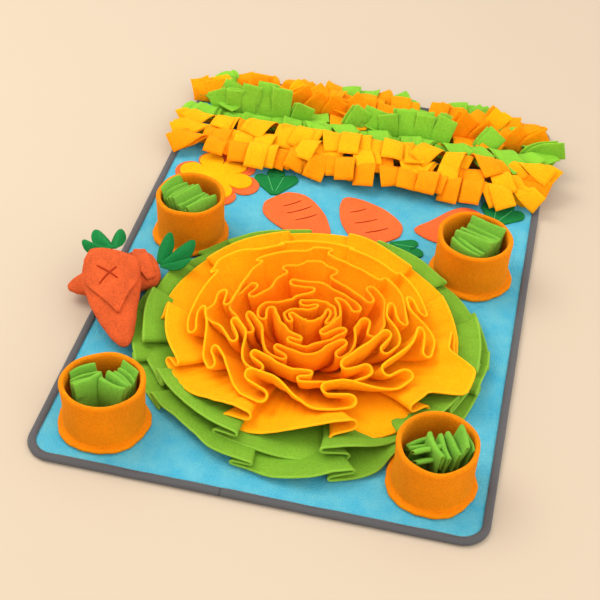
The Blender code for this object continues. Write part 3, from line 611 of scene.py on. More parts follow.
def buildCup(index, name, x, y, size, oval, ovalTurn, leanX, leanY):
    # a turned wall of doubled fleece, pushed in and out a little by slow waves, with the
    # rim dipping and swelling and a sewn-down foot that spreads unevenly
    around = np.linspace(0, 2 * np.pi, cups["around"], endpoint=False)
    radius, height = np.array(cups["wall"]).T
    a, r = np.meshgrid(around, radius, indexing="ij")
    z = np.tile(height, (len(around), 1))
    stretch = size * (1 + oval * np.cos(2 * (a - np.radians(ovalTurn))))
    share = np.clip(z / 57, 0, 1)
    waves = np.sin(3 * a + 1.7 * index) * np.sin(np.pi * share) * 0.8
    waves += np.sin(7 * a + 2 * index + 3 * share) * 0.25
    waves += np.sin(2 * a - index) * share ** 2 * 0.9
    foot = np.exp(-(z / 5) ** 4) * (r > 41)
    waves += foot * 0.8 * np.sin(5 * a + index) + foot * 0.35 * np.sin(17 * a)
    r = r * stretch + cups["dents"] * waves
    z = z * (1 + share * (0.014 * np.sin(2 * a + 1.3 * index) + 0.007 * np.sin(5 * a - index)))
    points = np.stack([x + r * np.cos(a) + leanX * z, y + r * np.sin(a) + leanY * z, seat + z], -1)
    rows, columns = a.shape
    shell = (points.reshape(-1, 3), gridQuads(rows, columns, True, True), noTriangles)
    piece = meshPiece("cupWall_" + name, [shell], cupFleece)
    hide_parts("cup_" + name)
    way, tall = cups["flat"]
    way * size


for index, row in enumerate(cups["places"]):
    buildCup(index, *row)

bunches = {
    "thickness": 1.7,
    "room": 35.0,                # radius that a cup leaves them
    "rim": 56.0,                 # above this height they may spread
    "yaw": 15.0,                 # degrees that a strip may twist
    # points up a strip, round its fold and down again, with their steps
    "up": 15, "round": (7, 0.75), "down": (6, 2.6),
    # cup, bunch, dx, dy, facing, strips, width, spacing, height, lean, fan, curl
    "places": [
        ("front_left", "left", -13.0, -4.0, -50.0, 4, 31.0, 4.8, 61.0, -6.0, 5.0, -20.0),
        ("front_left", "right", 13.0, 3.0, 68.0, 5, 27.0, 4.8, 62.0, 4.0, 8.0, 24.0),
        ("front_right", "left", -14.0, 2.0, -58.0, 4, 28.0, 5.0, 59.0, -4.0, 6.0, 46.0),
        ("front_right", "right", 12.0, 0.0, 28.0, 6, 30.0, 4.8, 66.0, 3.0, 11.0, 16.0),
        ("back_right", "middle", 2.0, 0.0, 64.0, 9, 42.0, 5.4, 63.0, 0.0, 9.0, 24.0),
        ("back_left", "middle", 0.0, -2.0, -30.0, 8, 38.0, 5.4, 62.0, 0.0, 9.0, -40.0),
    ],
}


def buildBunch(cup, bunch, dx, dy, facing, count, width, spacing, height, lean, fan, curl):
    # strips that rise from the cup's bottom, fan out and curl at the top; each is doubled,
    # so its cloth goes up, over a soft bend and part of the way down again
    centre = {row[0]: row[1:3] for row in cups["places"]}[cup]
    turn = np.radians(facing)
    ahead = np.array([np.cos(turn), np.sin(turn), 0])
    aside = np.array([-np.sin(turn), np.cos(turn), 0])
    up, (bends, bendStep), (downs, downStep) = (bunches[key] for key in ("up", "round", "down"))
    rng = np.random.default_rng(len(cup) * 7 + count)
    shells, flatLength = [], 0.0
    for k in range(count):
        share = 2 * k / (count - 1) - 1
        start = share * (count - 1) * spacing / 2
        tall = height * (1 - 0.17 * abs(np.sin(2.3 * k + dx)))
        rise = np.linspace(0, 1, up)
        slope = np.radians(lean + fan * share + curl * np.clip(2 * rise - 1, 0, 1))
        fold = np.sign(curl) * np.radians(np.linspace(20, 180, bends))
        headings = np.concatenate([slope, slope[-1] + fold, np.full(downs, slope[-1] + fold[-1])])
        steps = np.repeat([tall / up, bendStep, downStep], [up, bends, downs])
        flatLength += steps.sum()
        pathX = start + np.cumsum(np.sin(headings) * steps)
        pathZ = np.cumsum(np.cos(headings) * steps)
        along = np.cumsum(steps) / steps.sum()
        yaw = np.radians(rng.uniform(-bunches["yaw"], bunches["yaw"]))
        s, t = np.meshgrid(np.arange(len(along)), np.linspace(-0.5, 0.5, 7), indexing="ij")
        cupped = rng.uniform(-1.6, 1.6) * (1 - (2 * t) ** 2) * along[s]
        wave = 0.7 * np.sin(5 * t + 6 * along[s] + k)
        side = t * width * (1 + 0.02 * np.sin(9 * along[s] + k))
        forward = pathX[s] + cupped + wave * along[s] + side * np.sin(yaw) * along[s]
        upward = pathZ[s] + 0.8 * np.sin(3 * t + k) * along[s]
        middle = (np.array([dx, dy, seat]) + forward[..., None] * ahead
                  + (side * np.cos(yaw))[..., None] * aside + upward[..., None] * [0, 0, 1])
        # Inside the cup the cloth is pressed in by the wall.
        away = np.hypot(middle[..., 0], middle[..., 1]) + 1e-9
        room = bunches["room"] + np.clip(middle[..., 2] - bunches["rim"], 0, 10) * 0.6
        middle[..., :2] *= ((away ** -6 + room ** -6) ** (-1 / 6) / away)[..., None]
        middle = middle + [*centre, 0]
        shells.append(clothSheet(middle, bunches["thickness"]))
    piece = meshPiece("cupStrips_%s_%s" % (cup, bunch), shells, cupGreen)
    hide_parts("cup_strips_%s_%s" % (cup, bunch))
    width * mm
    "cupWall_" + cup


for row in bunches["places"]:
    buildBunch(*row)
print("cups and their strips made")


flower = {
    "x": 10.0, "y": -125.0,
    "thickness": 2.4,
    "rows": 20,                  # from the seam to the free edge
    "forward": 19.0,             # how far the middle of the flower leans to the front
    "cup room": 44.0,            # the ruffles stay this far from a cup's middle
    "turn": 172.0,               # degrees that a fold's edge turns back by at most
    "short turn": 85, "turn per back": 11,   # degrees for a fold that runs back little
    "bend": 0.85,                # length of a fold's loop, as a share of its climb
    "lead": 3.0,                 # length before and after the loop, besides half of back
    "slack": 0.7,                # length added to a fold, as a share of back
    "steep": 1.35,               # how much faster than evenly a ruffle rises at its seam
    "base": 4.0,                 # height that the ruffles' own heights count from
    "loop step": 1.9,            # spacing of samples in a fold, and between folds
    "arc step": 4.5,
}

# name, node, material, edge radius, edge height front and back, seam radius, knee radius,
# knee height, tilt of the sheet at its edge, gather pleats, their height
ruffles = [
    ("ruffleGreenLow", "ruffle_green_low", greenFleece,
     186.0, 3.0, 4.0, 108.0, 168.0, 4.0, 4.0, 71, 0.7),
    ("ruffleGreenHigh", "ruffle_green_high", greenFleece,
     168.0, 9.0, 12.0, 90.0, 150.0, 10.0, 8.0, 67, 0.8),
    ("ruffleYellow", "ruffle_yellow", yellowFleece,
     153.0, 12.0, 24.0, 64.0, 136.0, 16.0, 28.0, 61, 1.3),
    ("ruffleAmber", "ruffle_amber", amberFleece,
     123.0, 28.0, 38.0, 42.0, 112.0, 13.0, 55.0, 43, 1.2),
    ("ruffleLightOrange", "ruffle_light_orange", lightFleece,
     98.0, 42.0, 47.0, 30.0, 90.0, 16.0, 66.0, 33, 1.0),
    ("ruffleOrange", "ruffle_orange", orangeFleece,
     73.0, 50.0, 53.0, 19.0, 68.0, 18.0, 72.0, 25, 0.9),
    ("ruffleDeepOrange", "ruffle_deep_orange", orangeFleece,
     48.0, 56.0, 56.0, 12.0, 46.0, 22.0, 78.0, 19, 0.8),
    ("roseCore", "rose_core", orangeFleece,
     24.0, 59.0, 58.0, 7.0, 22.0, 24.0, 84.0, 11, 0.6),
]

# The folds of each ruffle's free edge. Going anticlockwise the edge runs past the fold's
# place, turns back in a round loop, runs back and turns on again, so that three layers
# lie on each other. Degrees run from the right; back is the length that runs back; climb
# is how far the last layer lies from the first; side says which end lies on top; out
# moves the fold from the ring.
# degrees, back, climb, side, out
folds = {
    "ruffle_green_low": [
        (5, 20, 10, -1, 1), (24, 18, 9, -1, -4), (50, 16, 8, 1, -10), (78, 16, 8, -1, -10),
        (116, 16, 8, 1, -10), (143, 16, 9, -1, -6), (168, 14, 9, 1, -2), (187, 20, 11, 1, 3),
        (205, 18, 10, -1, -2), (225, 18, 9, 1, -2), (262, 24, 10, -1, 5), (291, 26, 13, -1, 7),
        (318, 16, 8, -1, 2), (350, 16, 9, 1, -2),
    ],
    "ruffle_green_high": [
        (17, 20, 13, -1, 10), (45, 18, 10, 1, 6), (73, 14, 9, -1, 2), (104, 12, 8, 1, -2),
        (133, 14, 9, -1, 0), (158, 16, 12, 1, 6), (178, 18, 13, 1, 8), (198, 20, 13, -1, 6),
        (218, 16, 10, 1, 0), (253, 26, 14, -1, 2), (290, 28, 16, 1, 4), (316, 12, 8, 1, 0),
        (338, 16, 11, -1, 6), (358, 16, 12, 1, 10),
    ],
    "ruffle_yellow": [
        (4, 18, 18, -1, 0), (32, 4, 10, -1, 0), (54, 4, 10, 1, -4), (85, 4, 10, -1, 3),
        (112, 4, 9, 1, 0), (150, 4, 9, -1, 0), (186, 14, 13, 1, 3), (215, 16, 15, -1, 2),
        (253, 26, 20, -1, 0), (294, 20, 24, -1, 4), (326, 18, 18, 1, 6),
    ],
    "ruffle_amber": [
        (22, 12, 24, -1, -2), (50, 3, 13, 1, 0), (80, 3, 13, -1, 0), (118, 3, 13, 1, 0),
        (160, 3, 13, 1, 4), (197, 20, 24, 1, 2), (224, 14, 20, 1, 2), (254, 20, 30, 1, 3),
        (296, 20, 30, 1, 2), (331, 18, 28, 1, 5), (356, 20, 26, -1, 6),
    ],
    "ruffle_light_orange": [
        (12, 16, 24, -1, 0), (46, 3, 13, 1, 2), (90, 3, 13, -1, 0), (138, 3, 13, 1, 2),
        (184, 16, 24, -1, 2), (215, 16, 24, 1, -4), (246, 12, 22, 1, 2), (278, 8, 14, -1, -2),
        (312, 20, 28, 1, 4), (343, 16, 24, -1, -2),
    ],
    "ruffle_orange": [
        (35, 14, 22, 1, 2), (78, 3, 15, -1, 0), (125, 3, 15, 1, 0), (168, 14, 20, -1, 2),
        (212, 16, 22, 1, 0), (256, 10, 16, 1, 2), (310, 14, 20, -1, -2), (350, 16, 22, -1, 0),
    ],
    "ruffle_deep_orange": [
        (30, 14, 20, -1, 0), (108, 18, 22, 1, 2), (196, 14, 18, 1, 0), (262, 8, 14, -1, 0),
        (326, 14, 18, 1, 0),
    ],
    "rose_core": [(100, 12, 14, 1, 0), (215, 8, 12, 1, 0), (350, 10, 13, -1, 0)],
}

# Slow bends of a ruffle's edge away from its ring: degrees, half width in degrees, out
bulges = {
    "ruffle_yellow": [(345, 13, 32), (238, 14, 4)],
    "ruffle_amber": [(277, 14, 4), (145, 14, 6)],
    "ruffle_light_orange": [(264, 12, 4), (198, 10, 7), (95, 12, 6)],
    "ruffle_orange": [(282, 20, 4), (190, 14, 6), (100, 14, 8)],
    "ruffle_deep_orange": [(295, 20, -4), (150, 24, -6)],
    "ruffle_green_low": [(277, 14, 5), (240, 12, -4), (100, 40, -9)],
}

# Places where the whole flower is turned a little: x, y from its middle, reach, degrees
swirls = [
    (22.0, -44.0, 46.0, 20.0), (-58.0, 8.0, 52.0, -20.0), (44.0, 46.0, 50.0, 18.0),
    (-30.0, 62.0, 44.0, -16.0), (88.0, -30.0, 50.0, -16.0), (-96.0, -52.0, 48.0, 14.0),
    (8.0, 14.0, 34.0, 32.0),
]


def pressedAside(x, y):
    # cloth that would run into a cup is pushed out round it, less and less further off
    for cupX, cupY, size in (row[1:4] for row in cups["places"]):
        awayX, awayY = x - cupX, y - cupY
        away = np.hypot(awayX, awayY)
        pushed = (away ** 8 + (flower["cup room"] * size) ** 8) ** 0.125
        x, y = cupX + awayX * pushed / away, cupY + awayY * pushed / away
    return x, y


def foldCurve(back, climb, side):
    # one fold's edge from its start to its end: its heading climbs to the full turn, stays
    # for the length that runs back and falls again; returns the shares of its length, how
    # far it is ahead of a steady run, how high it has climbed, and its footprint
    turn = np.radians(min(flower["turn"], flower["short turn"] + flower["turn per back"] * back))
    bend = flower["bend"] * climb
    run = back / 2 + flower["lead"]
    length = 2 * run + 2 * bend + flower["slack"] * back
    s = np.linspace(0, length, max(12, int(length / flower["loop step"])))
    rise, fall = smoothStep(s, run, run + bend), smoothStep(s, length - run - bend, length - run)
    heading = turn * rise * (1 - fall)
    middle = (heading[1:] + heading[:-1]) / 2
    step = s[1] - s[0]
    u = np.append(0, np.cumsum(np.cos(middle) * step))
    v = np.append(0, np.cumsum(np.sin(middle) * step))
    v = v * climb / v[-1]
    ahead = u - u[-1] * s / length
    return s / length, ahead, v if side > 0 else v[::-1], u[-1]


def ringEdge(node, ring):
    # samples round a ring: angle of a steady run, how far the edge is ahead of it, how
    # high it stands on its own layers, and how far out it lies
    parts = []
    for degrees, back, tall, side, out in folds[node]:
        share, ahead, climb, foot = foldCurve(back, tall, side)
        way = np.radians(degrees) + (share - 0.5) * foot / ring
        parts.append(np.array([way, ahead, climb, np.full(len(way), out)]))
    pieces = []
    for k, part in enumerate(parts):
        follower = parts[(k + 1) % len(parts)]
        start, end = part[:, -1], follower[:, 0]
        to = end[0] + (2 * np.pi if k == len(parts) - 1 else 0)
        count = max(4, int(abs(to - start[0]) * ring / flower["arc step"]))
        t = np.arange(1, count) / count
        ease = smoothStep(t, 0, 1)
        pieces += [part, np.array([start[0] + (to - start[0]) * t, 0 * t,
                                   start[2] + (end[2] - start[2]) * ease,
                                   start[3] + (end[3] - start[3]) * ease])]
    way, ahead, climb, out = np.concatenate(pieces, axis=1)
    for degrees, width, bulge in bulges.get(node, ()):
        gap = (np.degrees(way) - degrees + 180) % 360 - 180
        out = out + bulge * smoothStep(1 - np.abs(gap) / width, 0, 0.65)
    return way, ahead, climb, out


def swirled(x, y, share):
    # the plan turned round each swirl's middle, most at the middle and not at its rim
    for placeX, placeY, reach, degrees in swirls:
        awayX, awayY = x - placeX, y - placeY
        near = np.clip(1 - (awayX ** 2 + awayY ** 2) / reach ** 2, 0, 1) ** 2
        turn = np.radians(degrees) * near * share
        x = placeX + awayX * np.cos(turn) - awayY * np.sin(turn)
        y = placeY + awayX * np.sin(turn) + awayY * np.cos(turn)
    return x, y


def ruffleSurface(node, ring, frontUp, backUp, seamRing, kneeRing, kneeUp, tilt, pleats, gather):
    # a ruffle's middle surface: at each sample round it, a curve from the seam over a knee
    # to the edge, with the edge's folds growing in on the way up
    way, ahead, climb, out = ringEdge(node, ring)
    t = np.linspace(0, 1, flower["rows"])
    rise = 1 - (1 - t) ** flower["steep"]
    ahead, climb, out = (np.repeat(v[:, None], len(t), 1) for v in (ahead, climb, out))
    way, rise = np.meshgrid(way, rise, indexing="ij")
    edgeUp = frontUp + (backUp - frontUp) * (0.5 + 0.5 * np.sin(way))
    low, bend, high = (1 - rise) ** 2, 2 * rise * (1 - rise), rise ** 2
    tilt = np.radians(tilt)
    grown = rise ** 1.1
    radius = low * seamRing + bend * kneeRing + high * ring
    radius = radius + rise ** 1.5 * out - grown * climb * np.sin(tilt)
    height = low * 1.5 + bend * kneeUp + high * edgeUp + grown * climb * np.cos(tilt)
    # Fine pleats from the gathering fade towards the edge, with slow waves over them.
    pleat = np.sin(pleats * way + 1.6 * np.sin(5 * way + ring) + 1.1 * np.sin(13 * way))
    patchy = 0.55 + 0.45 * np.sin(3 * way + ring / 20)
    wave = gather * pleat * patchy * np.sin(np.pi * np.clip(rise * 0.93 + 0.03, 0, 1)) ** 0.8
    wave = wave + 1.3 * np.sin(9 * way + ring) * np.sin(4 * way + 2) * rise ** 2
    radius = radius - wave * np.sin(tilt)
    height = height + wave * np.cos(tilt)
    sideways = grown * ahead
    x = radius * np.cos(way) - sideways * np.sin(way)
    y = radius * np.sin(way) + sideways * np.cos(way)
    x, y = swirled(x, y, 0.3 + 0.7 * rise)
    far = np.hypot(x, y)
    forward = flower["forward"] * (1 - np.clip(far / 125, 0, 1) ** 2) ** 2
    x, y = pressedAside(flower["x"] + x, flower["y"] + y - forward)
    return np.stack([x, y, flower["base"] + height], -1), rise


def buildRuffle(name, node, material, *form):
    # one gathered band: its surface, thickened, and the flat cloth that it was cut from
    middle, rise = ruffleSurface(node, *form)
    shell = clothSheet(middle, flower["thickness"], wrap=True)
    piece = meshPiece(name, [shell], material, {"rise": sheetValues(rise)})
    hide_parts(node)
    edge, depth = pathLength(middle[:, -1], 0), pathLength(middle, 1).mean()
    fitArea(sheetArea(middle, wrap=True), depth, edge)
    print("%s: %.0f x %.0f mm cut, %d points" % (name, depth * 1000, edge * 1000, len(middle)))


for row in ruffles:
    buildRuffle(*row)
print("flower made")


fringe = {
    "reach": 390.0,              # from the middle of a row's first strip to its last one's
    "width": 23.0,
    "layer": 1.6,                # thickness of one of a strip's two layers
    "parted": 1.2,               # gap between them at their free ends
    "steps": 16, "columns": 7,   # points along a strip and across it
    # node, seam y, strips, length, lean, spread of the lean, share of the length that
    # bends, bow of the rest, yaw, second lean, its share, material, share tinted
    "rows": [
        ("fringe_row_1", 191.0, 16, 60.0, 120.0, 9.0, 0.78, 18.0, 16.0, 0.0,
         0.0, stripAmber, 0.06),
        ("fringe_row_2", 212.0, 15, 62.0, 114.0, 12.0, 0.80, 6.0, 30.0, 0.0,
         0.0, stripAmber, 0.60),
        ("fringe_row_3", 235.0, 16, 70.0, 112.0, 12.0, 0.86, 10.0, 42.0, 0.0,
         0.0, stripYellow, 0.06),
        ("fringe_row_4", 258.0, 13, 40.0, 104.0, 7.0, 0.70, -6.0, 12.0, 0.0,
         0.0, stripGreen, 0.0),
        ("fringe_row_5", 281.0, 16, 38.0, -98.0, 7.0, 0.70, -8.0, 14.0, 99.0,
         0.45, stripGreen, 0.45),
        ("fringe_row_6", 304.0, 18, 38.0, -78.0, 14.0, 0.75, -14.0, 46.0, 102.0,
         0.30, stripOrange, 0.30),
        ("fringe_row_7", 326.0, 18, 31.0, -92.0, 12.0, 0.80, -8.0, 46.0, 98.0,
         0.36, stripGreen, 0.42),
    ],
    # Two rows have strips in places of their own besides: x, lean, swing to the right,
    # length, tinted
    "fringe_row_4": [
        (-216, 96, -26, 44, 0), (-200, 100, -10, 48, 0), (-185, -14, -22, 34, 0),
        (-168, -6, -6, 38, 0), (-150, -20, 2, 45, 0), (-131, -34, 8, 52, 0),
        (-110, -20, 12, 47, 0), (-92, 102, 14, 52, 0), (-86, -6, 24, 38, 0),
        (-68, 98, 40, 50, 0), (-50, 106, -20, 54, 0), (-36, 96, 34, 52, 0),
        (-19, -12, 18, 40, 0), (1, -26, 8, 43, 0), (13, 98, 16, 58, 0), (28, -10, -6, 41, 0),
        (48, -26, 0, 48, 0), (53, 106, 24, 52, 0), (69, -16, 6, 43, 0), (76, 104, -30, 52, 0),
        (90, -26, 16, 44, 0), (104, 94, 40, 56, 0), (124, 96, 48, 56, 0), (146, -34, 36, 42, 0),
        (164, 94, 28, 70, 0), (186, 90, 40, 60, 0), (204, -12, 68, 60, 0),
    ],
    "fringe_row_5": [
        (-216, -58, -40, 32, 1), (-200, -46, -20, 30, 1), (-186, -44, 24, 32, 0),
        (-166, 104, -20, 46, 0), (-147, -42, 0, 44, 1), (-124, -50, 14, 38, 1),
        (-104, -24, 58, 46, 1), (-78, -14, 44, 46, 1), (-52, -10, 12, 40, 1),
        (-30, -42, 30, 40, 1), (-6, -54, -14, 40, 1), (18, -64, 8, 38, 1), (44, -62, 22, 34, 0),
        (68, -54, 2, 36, 0), (92, -58, 14, 34, 0), (110, -16, 30, 42, 1), (134, -20, 34, 42, 1),
        (160, 98, -20, 46, 1), (176, -30, 28, 38, 1), (198, -18, 52, 42, 1),
        (206, 96, 46, 60, 0),
    ],
    "splay": 62.0,               # how far the end strips swing outwards
    "shift": 11.0,               # how far a strip's second layer lies to its side
    "placed shift": 0.4,         # share of that for a strip with a place of its own
    "arch": 0.10,                # how much later every other strip bends
    "taper": 0.06,               # how much shorter the even strips get towards the right
    "roll": -0.2,                # share of its swing that a strip turns to face forward
    # shorter strips where patches show in front and at the band's left end: x, reach,
    # share taken off, whether in the rows behind
    "held back": [(-86.0, 20.0, 0.20, False), (-158.0, 26.0, 0.30, False),
                  (-180.0, 62.0, 0.36, True)],
    "behind": 220.0,             # seams beyond this y count as the rows behind
    "second layer": 3.0,         # how far behind the first its seam lies
    "second short": 0.14,        # share of its length that it may be shorter by
    "twist": (13, 0.15),         # degrees, and degrees for each one of the row's yaw
}


def stripMiddle(x, seam, tall, lean, sideLean, bend, twist, shape):
    # middle surface of one strip: it climbs from its seam, bends until it leans by its
    # lean and bows on from there; it swings sideways and twists as it bends
    steps = fringe["steps"]
    run = np.linspace(0, 1, steps)
    share = smoothStep(run, -0.05 * bend, bend)
    bow = smoothStep(run, bend * 0.8, 1.2)
    forward = np.radians(lean) * share + np.radians(shape["bow"]) * bow
    sideways = np.radians(sideLean) * share
    heading = np.stack([np.sin(sideways), -np.sin(forward) * np.cos(sideways),
                        np.cos(forward) * np.cos(sideways)], -1)
    step = (heading[1:] + heading[:-1]) / 2 * (tall / (steps - 1))
    middle = np.array([x, seam, seat]) + np.concatenate([np.zeros((1, 3)), np.cumsum(step, 0)])
    middle[:, 2] = np.maximum(middle[:, 2], seat + 1.2)
    side = np.stack([np.cos(sideways), np.sin(forward) * np.sin(sideways),
                     -np.cos(forward) * np.sin(sideways)], -1)
    normal = np.stack([0 * run, -np.cos(forward), -np.sin(forward)], -1)
    roll = (np.radians(twist) * share)[:, None]
    side, normal = (side * np.cos(roll) + normal * np.sin(roll),
                    normal * np.cos(roll) - side * np.sin(roll))
    run, share = run[:, None, None], share[:, None, None]
    across = np.linspace(-0.5, 0.5, fringe["columns"])[None, :, None]
    width = fringe["width"] * (1 + shape["flare"] * run)
    curl = shape["curl"] * (4 * across ** 2 - 0.4) * run
    wave = shape["wave"] * np.sin(4 * across + 5 * run + shape["phase"]) * share
    return middle[:, None] + side[:, None] * across * width + normal[:, None] * (curl + wave)


def evenStrips(rng, seam, count, length, lean, otherLean, otherShare, tinted):
    # a row's evenly placed strips, as x, lean, swing, length and tint: those at its ends
    # swing outwards, and those next to a patch are held back
    strips = []
    for k in range(count):
        x = (k - (count - 1) / 2) * fringe["reach"] / (count - 1)
        ownLean = otherLean if rng.random() < otherShare else lean
        outwards = fringe["splay"] * np.sign(x) * np.clip(abs(x) / 200, 0, 1) ** 6
        kept = 1.0
        for place, reach, share, behind in fringe["held back"]:
            if behind == (seam > fringe["behind"]):
                kept -= share * np.exp(-((x - place) / reach) ** 2)
        tall = length * kept * (1 - fringe["taper"] * x / 200)
        strips.append((x, ownLean, outwards, tall, rng.random() < tinted))
    return strips


def buildRow(rng, node, seam, count, length, lean, spread, bend, bow, yaw, otherLean, otherShare,
             material, tinted):
    # one row of doubled strips: first those with places of their own, then the even ones;
    # each gets a little lean, swing and length of its own, and each layer its own shape
    placed = fringe.get(node, [])
    strips = placed + evenStrips(rng, seam, count, length, lean, otherLean, otherShare, tinted)
    steps, gap = fringe["steps"], fringe["layer"] + fringe["parted"]
    most, perYaw = fringe["twist"]
    shells, tints, area = [], [], 0.0
    for k, (x, ownLean, sideLean, tall, tint) in enumerate(strips):
        ownLean = ownLean + spread * (0.6 * np.sin(x / 41 + seam / 60) + rng.uniform(-0.8, 0.8))
        sideLean = sideLean + yaw * (0.5 * np.sin(x / 31 + seam / 30) + rng.uniform(-0.7, 0.7))
        tall = tall * (1 + rng.uniform(-0.08, 0.08))
        shift = fringe["shift"] * (fringe["placed shift"] if k < len(placed) else 1.0)
        arch = fringe["arch"] if k % 2 else 0.0
        for level in (0, 1):
            shape = {"bow": bow + rng.uniform(-8, 8), "curl": rng.uniform(-1.8, 1.8),
                     "wave": rng.uniform(0.2, 0.9), "phase": rng.uniform(0, 6),
                     "flare": rng.uniform(-0.03, 0.04)}
            ownX = x + level * shift * rng.choice([-1, 0.3, 1])
            ownTall = tall * (1 - fringe["second short"] * level * rng.random())
            ownSide = sideLean + level * rng.uniform(-7, 7)
            twist = rng.uniform(-1, 1) * (most + perYaw * yaw) + fringe["roll"] * sideLean
            ownBend = bend * (1 + (arch + 0.02 * level))
            middle = stripMiddle(ownX, seam + fringe["second layer"] * level, ownTall, ownLean,
                                 ownSide, ownBend, twist, shape)
            normal = unit(np.cross(np.gradient(middle, axis=0), np.gradient(middle, axis=1)))
            apart = gap * (level - 0.5) * np.linspace(0.3, 1, steps)[:, None, None]
            middle = middle - np.sign(ownLean) * normal * apart
            shells.append(clothSheet(middle, fringe["layer"]))
            tints.append(np.full(len(shells[-1][0]), float(tint)))
            area += sheetArea(middle)
    piece = meshPiece(node.replace("fringe_row_", "fringeRow"), shells, material,
                      {"tint": np.concatenate(tints)})
    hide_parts(node)
    long = 2 * len(strips) * fringe["width"] * mm
    cut = np.mean([strip[3] for strip in strips]) * mm
    fitArea(area, cut, long)
    print("%s: %d pairs of strips, %.0f mm long" % (node, len(strips), cut * 1000))


draws = np.random.default_rng(5)
for row in fringe["rows"]:
    buildRow(draws, *row)
print("strips made")


patches = {
    "thickness": 1.7,
    # share of the carrot's length from crown to tip, half width
    "profile": [(0.0, 0.40), (0.05, 0.68), (0.15, 0.92), (0.28, 1.0), (0.45, 0.96), (0.62, 0.84),
                (0.78, 0.62), (0.88, 0.45), (0.95, 0.28), (1.0, 0.10)],
    # name, crown x, y, tip x, y, half width, bow, leaf way, leaf length
    "carrots": [
        ("left", -81.0, 111.0, -6.0, 45.0, 32.0, 0.0, 99.0, 54.0),
        ("middle", 60.0, 64.0, -1.0, 131.0, 33.0, 0.0, -14.0, 42.0),
        ("right", 171.0, 127.0, 88.0, 93.0, 31.0, -5.0, 76.0, 54.0),
    ],
    # the stitched lines: name, and for each line its two ends
    "lines": {
        "left": [((-69, 94), (-50, 111)), ((-62, 82), (-36, 103)), ((-50, 72), (-27, 90))],
        "middle": [((8, 104), (27, 117)), ((18, 86), (43, 101)), ((33, 72), (58, 88))],
        "right": [((121, 105), (139, 121)), ((131, 96), (150, 113))],
    },
    "leaf spread": 46.0,         # degrees to either side of its way
    "lobes": (0.84, 1.0, 0.80),
    "gap": 4.5,                  # between a carrot's crown and its leaf
    "line": 0.55, "vein": 0.4,   # radius of the stitched lines and of the leaves' veins
    "edge points": 120, "lobe points": 91, "petal points": 180,
    # node, x, y, way, petal, notch, height, material, slot
    "flowers": [
        ("flower_patch_back", -157.0, 127.0, -9.0, 53.0, 31.0, 0.0, coralFelt, "coral_felt"),
        ("flower_patch_petals", -159.0, 129.0, -6.0, 45.0, 21.0, 1.9, petalFleece,
         "amber_fleece"),
    ],
}


def patchShell(edge, bottom, thickness, rings=14):
    # a cut piece lying flat: rings that shrink from its outline to its middle, on top with
    # a soft shoulder and a faint quilted unevenness, and below
    centre = edge.mean(0)
    size, level = np.linspace(1, 0.02, rings), np.ones(rings)
    size[:5] = [1.0, 0.995, 0.98, 0.95, 0.90]
    level[:5] = [0.35, 0.75, 0.93, 1.0, 1.0]
    loops = []
    for share, up in [(1.0, 0.0), *zip(size, level)]:
        flat = centre + share * (edge - centre)
        uneven = 0.12 * np.sin(flat[:, 0] / 6.0) * np.sin(flat[:, 1] / 7.0) * (up == 1.0)
        loops.append(np.column_stack([flat, np.full(len(edge), bottom + thickness * up) + uneven]))
    hub = np.array([[*centre, bottom], [*centre, bottom + thickness]])
    rows, columns = len(loops), len(edge)
    return (np.concatenate([*loops, hub]), gridQuads(rows, columns, wrapColumns=True),
            endFans(rows, columns))


def carrotEdge(crown, tip, halfWidth, bow):
    # a carrot's outline: the profile's half widths to both sides of a line from crown to
    # tip that bows a little
    ahead = unit(tip - crown)
    aside = np.array([-ahead[1], ahead[0]])
    share, half = np.array(patches["profile"]).T
    middle = crown + share[:, None] * (tip - crown)
    middle = middle + (bow * np.sin(2 * np.pi * share))[:, None] * aside
    wide = (half * halfWidth)[:, None] * aside
    ring = np.concatenate([middle + wide, (middle - wide)[::-1]])
    return roundCurve(ring, patches["edge points"])


def leafReach(share, notch=0.26):
    # length of a three-lobed leaf at a share of its spread, notched between its lobes
    place = np.clip(share * 3, 0, 3 - 1e-9)
    lobe = place.astype(int)
    swell = np.sin(np.pi * (place - lobe)) ** 0.6
    return np.array(patches["lobes"])[lobe] * (1 - notch + notch * swell)


def leafEdge(base, way, length):
    # a leaf's outline: the three lobes round its base, closed by two straight sides that
    # leave it a narrow foot
    share = np.linspace(0, 1, patches["lobe points"])
    angle = np.radians(way + patches["leaf spread"] * (2 * share - 1))
    spokes = np.column_stack([np.cos(angle), np.sin(angle)])
    lobes = base + (leafReach(share) * length)[:, None] * spokes
    turn = np.radians(way)
    foot = 4.0 * np.array([-np.sin(turn), np.cos(turn)])
    sides = [lobes[-1] + t * (base + foot - lobes[-1]) for t in np.linspace(0.1, 1, 10)]
    others = [base - foot + t * (lobes[0] - base + foot) for t in np.linspace(0, 0.9, 10)]
    return np.concatenate([lobes, sides, others])


def petalEdge(x, y, way, petal, notch):
    # six petals: from notch to petal by the cosine of three times the angle, made blunt
    around = np.arange(patches["petal points"]) / patches["petal points"] * 2 * np.pi
    reach = notch + (petal - notch) * np.abs(np.cos(3 * around)) ** 0.45
    turned = around + np.radians(way)
    return np.column_stack([x + reach * np.cos(turned), y + reach * np.sin(turned)])


def flatArea(edge):
    # area inside an outline in square metres: half the sum of its points' cross products
    x, y = edge.T
    return abs((x * np.roll(y, -1) - y * np.roll(x, -1)).sum()) / 2 * mm * mm


def buildPatch(name, node, edge, bottom, material):
    # one flat piece sewn to the mat, and the cloth that it was cut from
    piece = meshPiece(name, [patchShell(edge, bottom, patches["thickness"])], material)
    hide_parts(node)
    wide, long = np.ptp(edge, axis=0) * mm
    fitArea(flatArea(edge), wide, long)


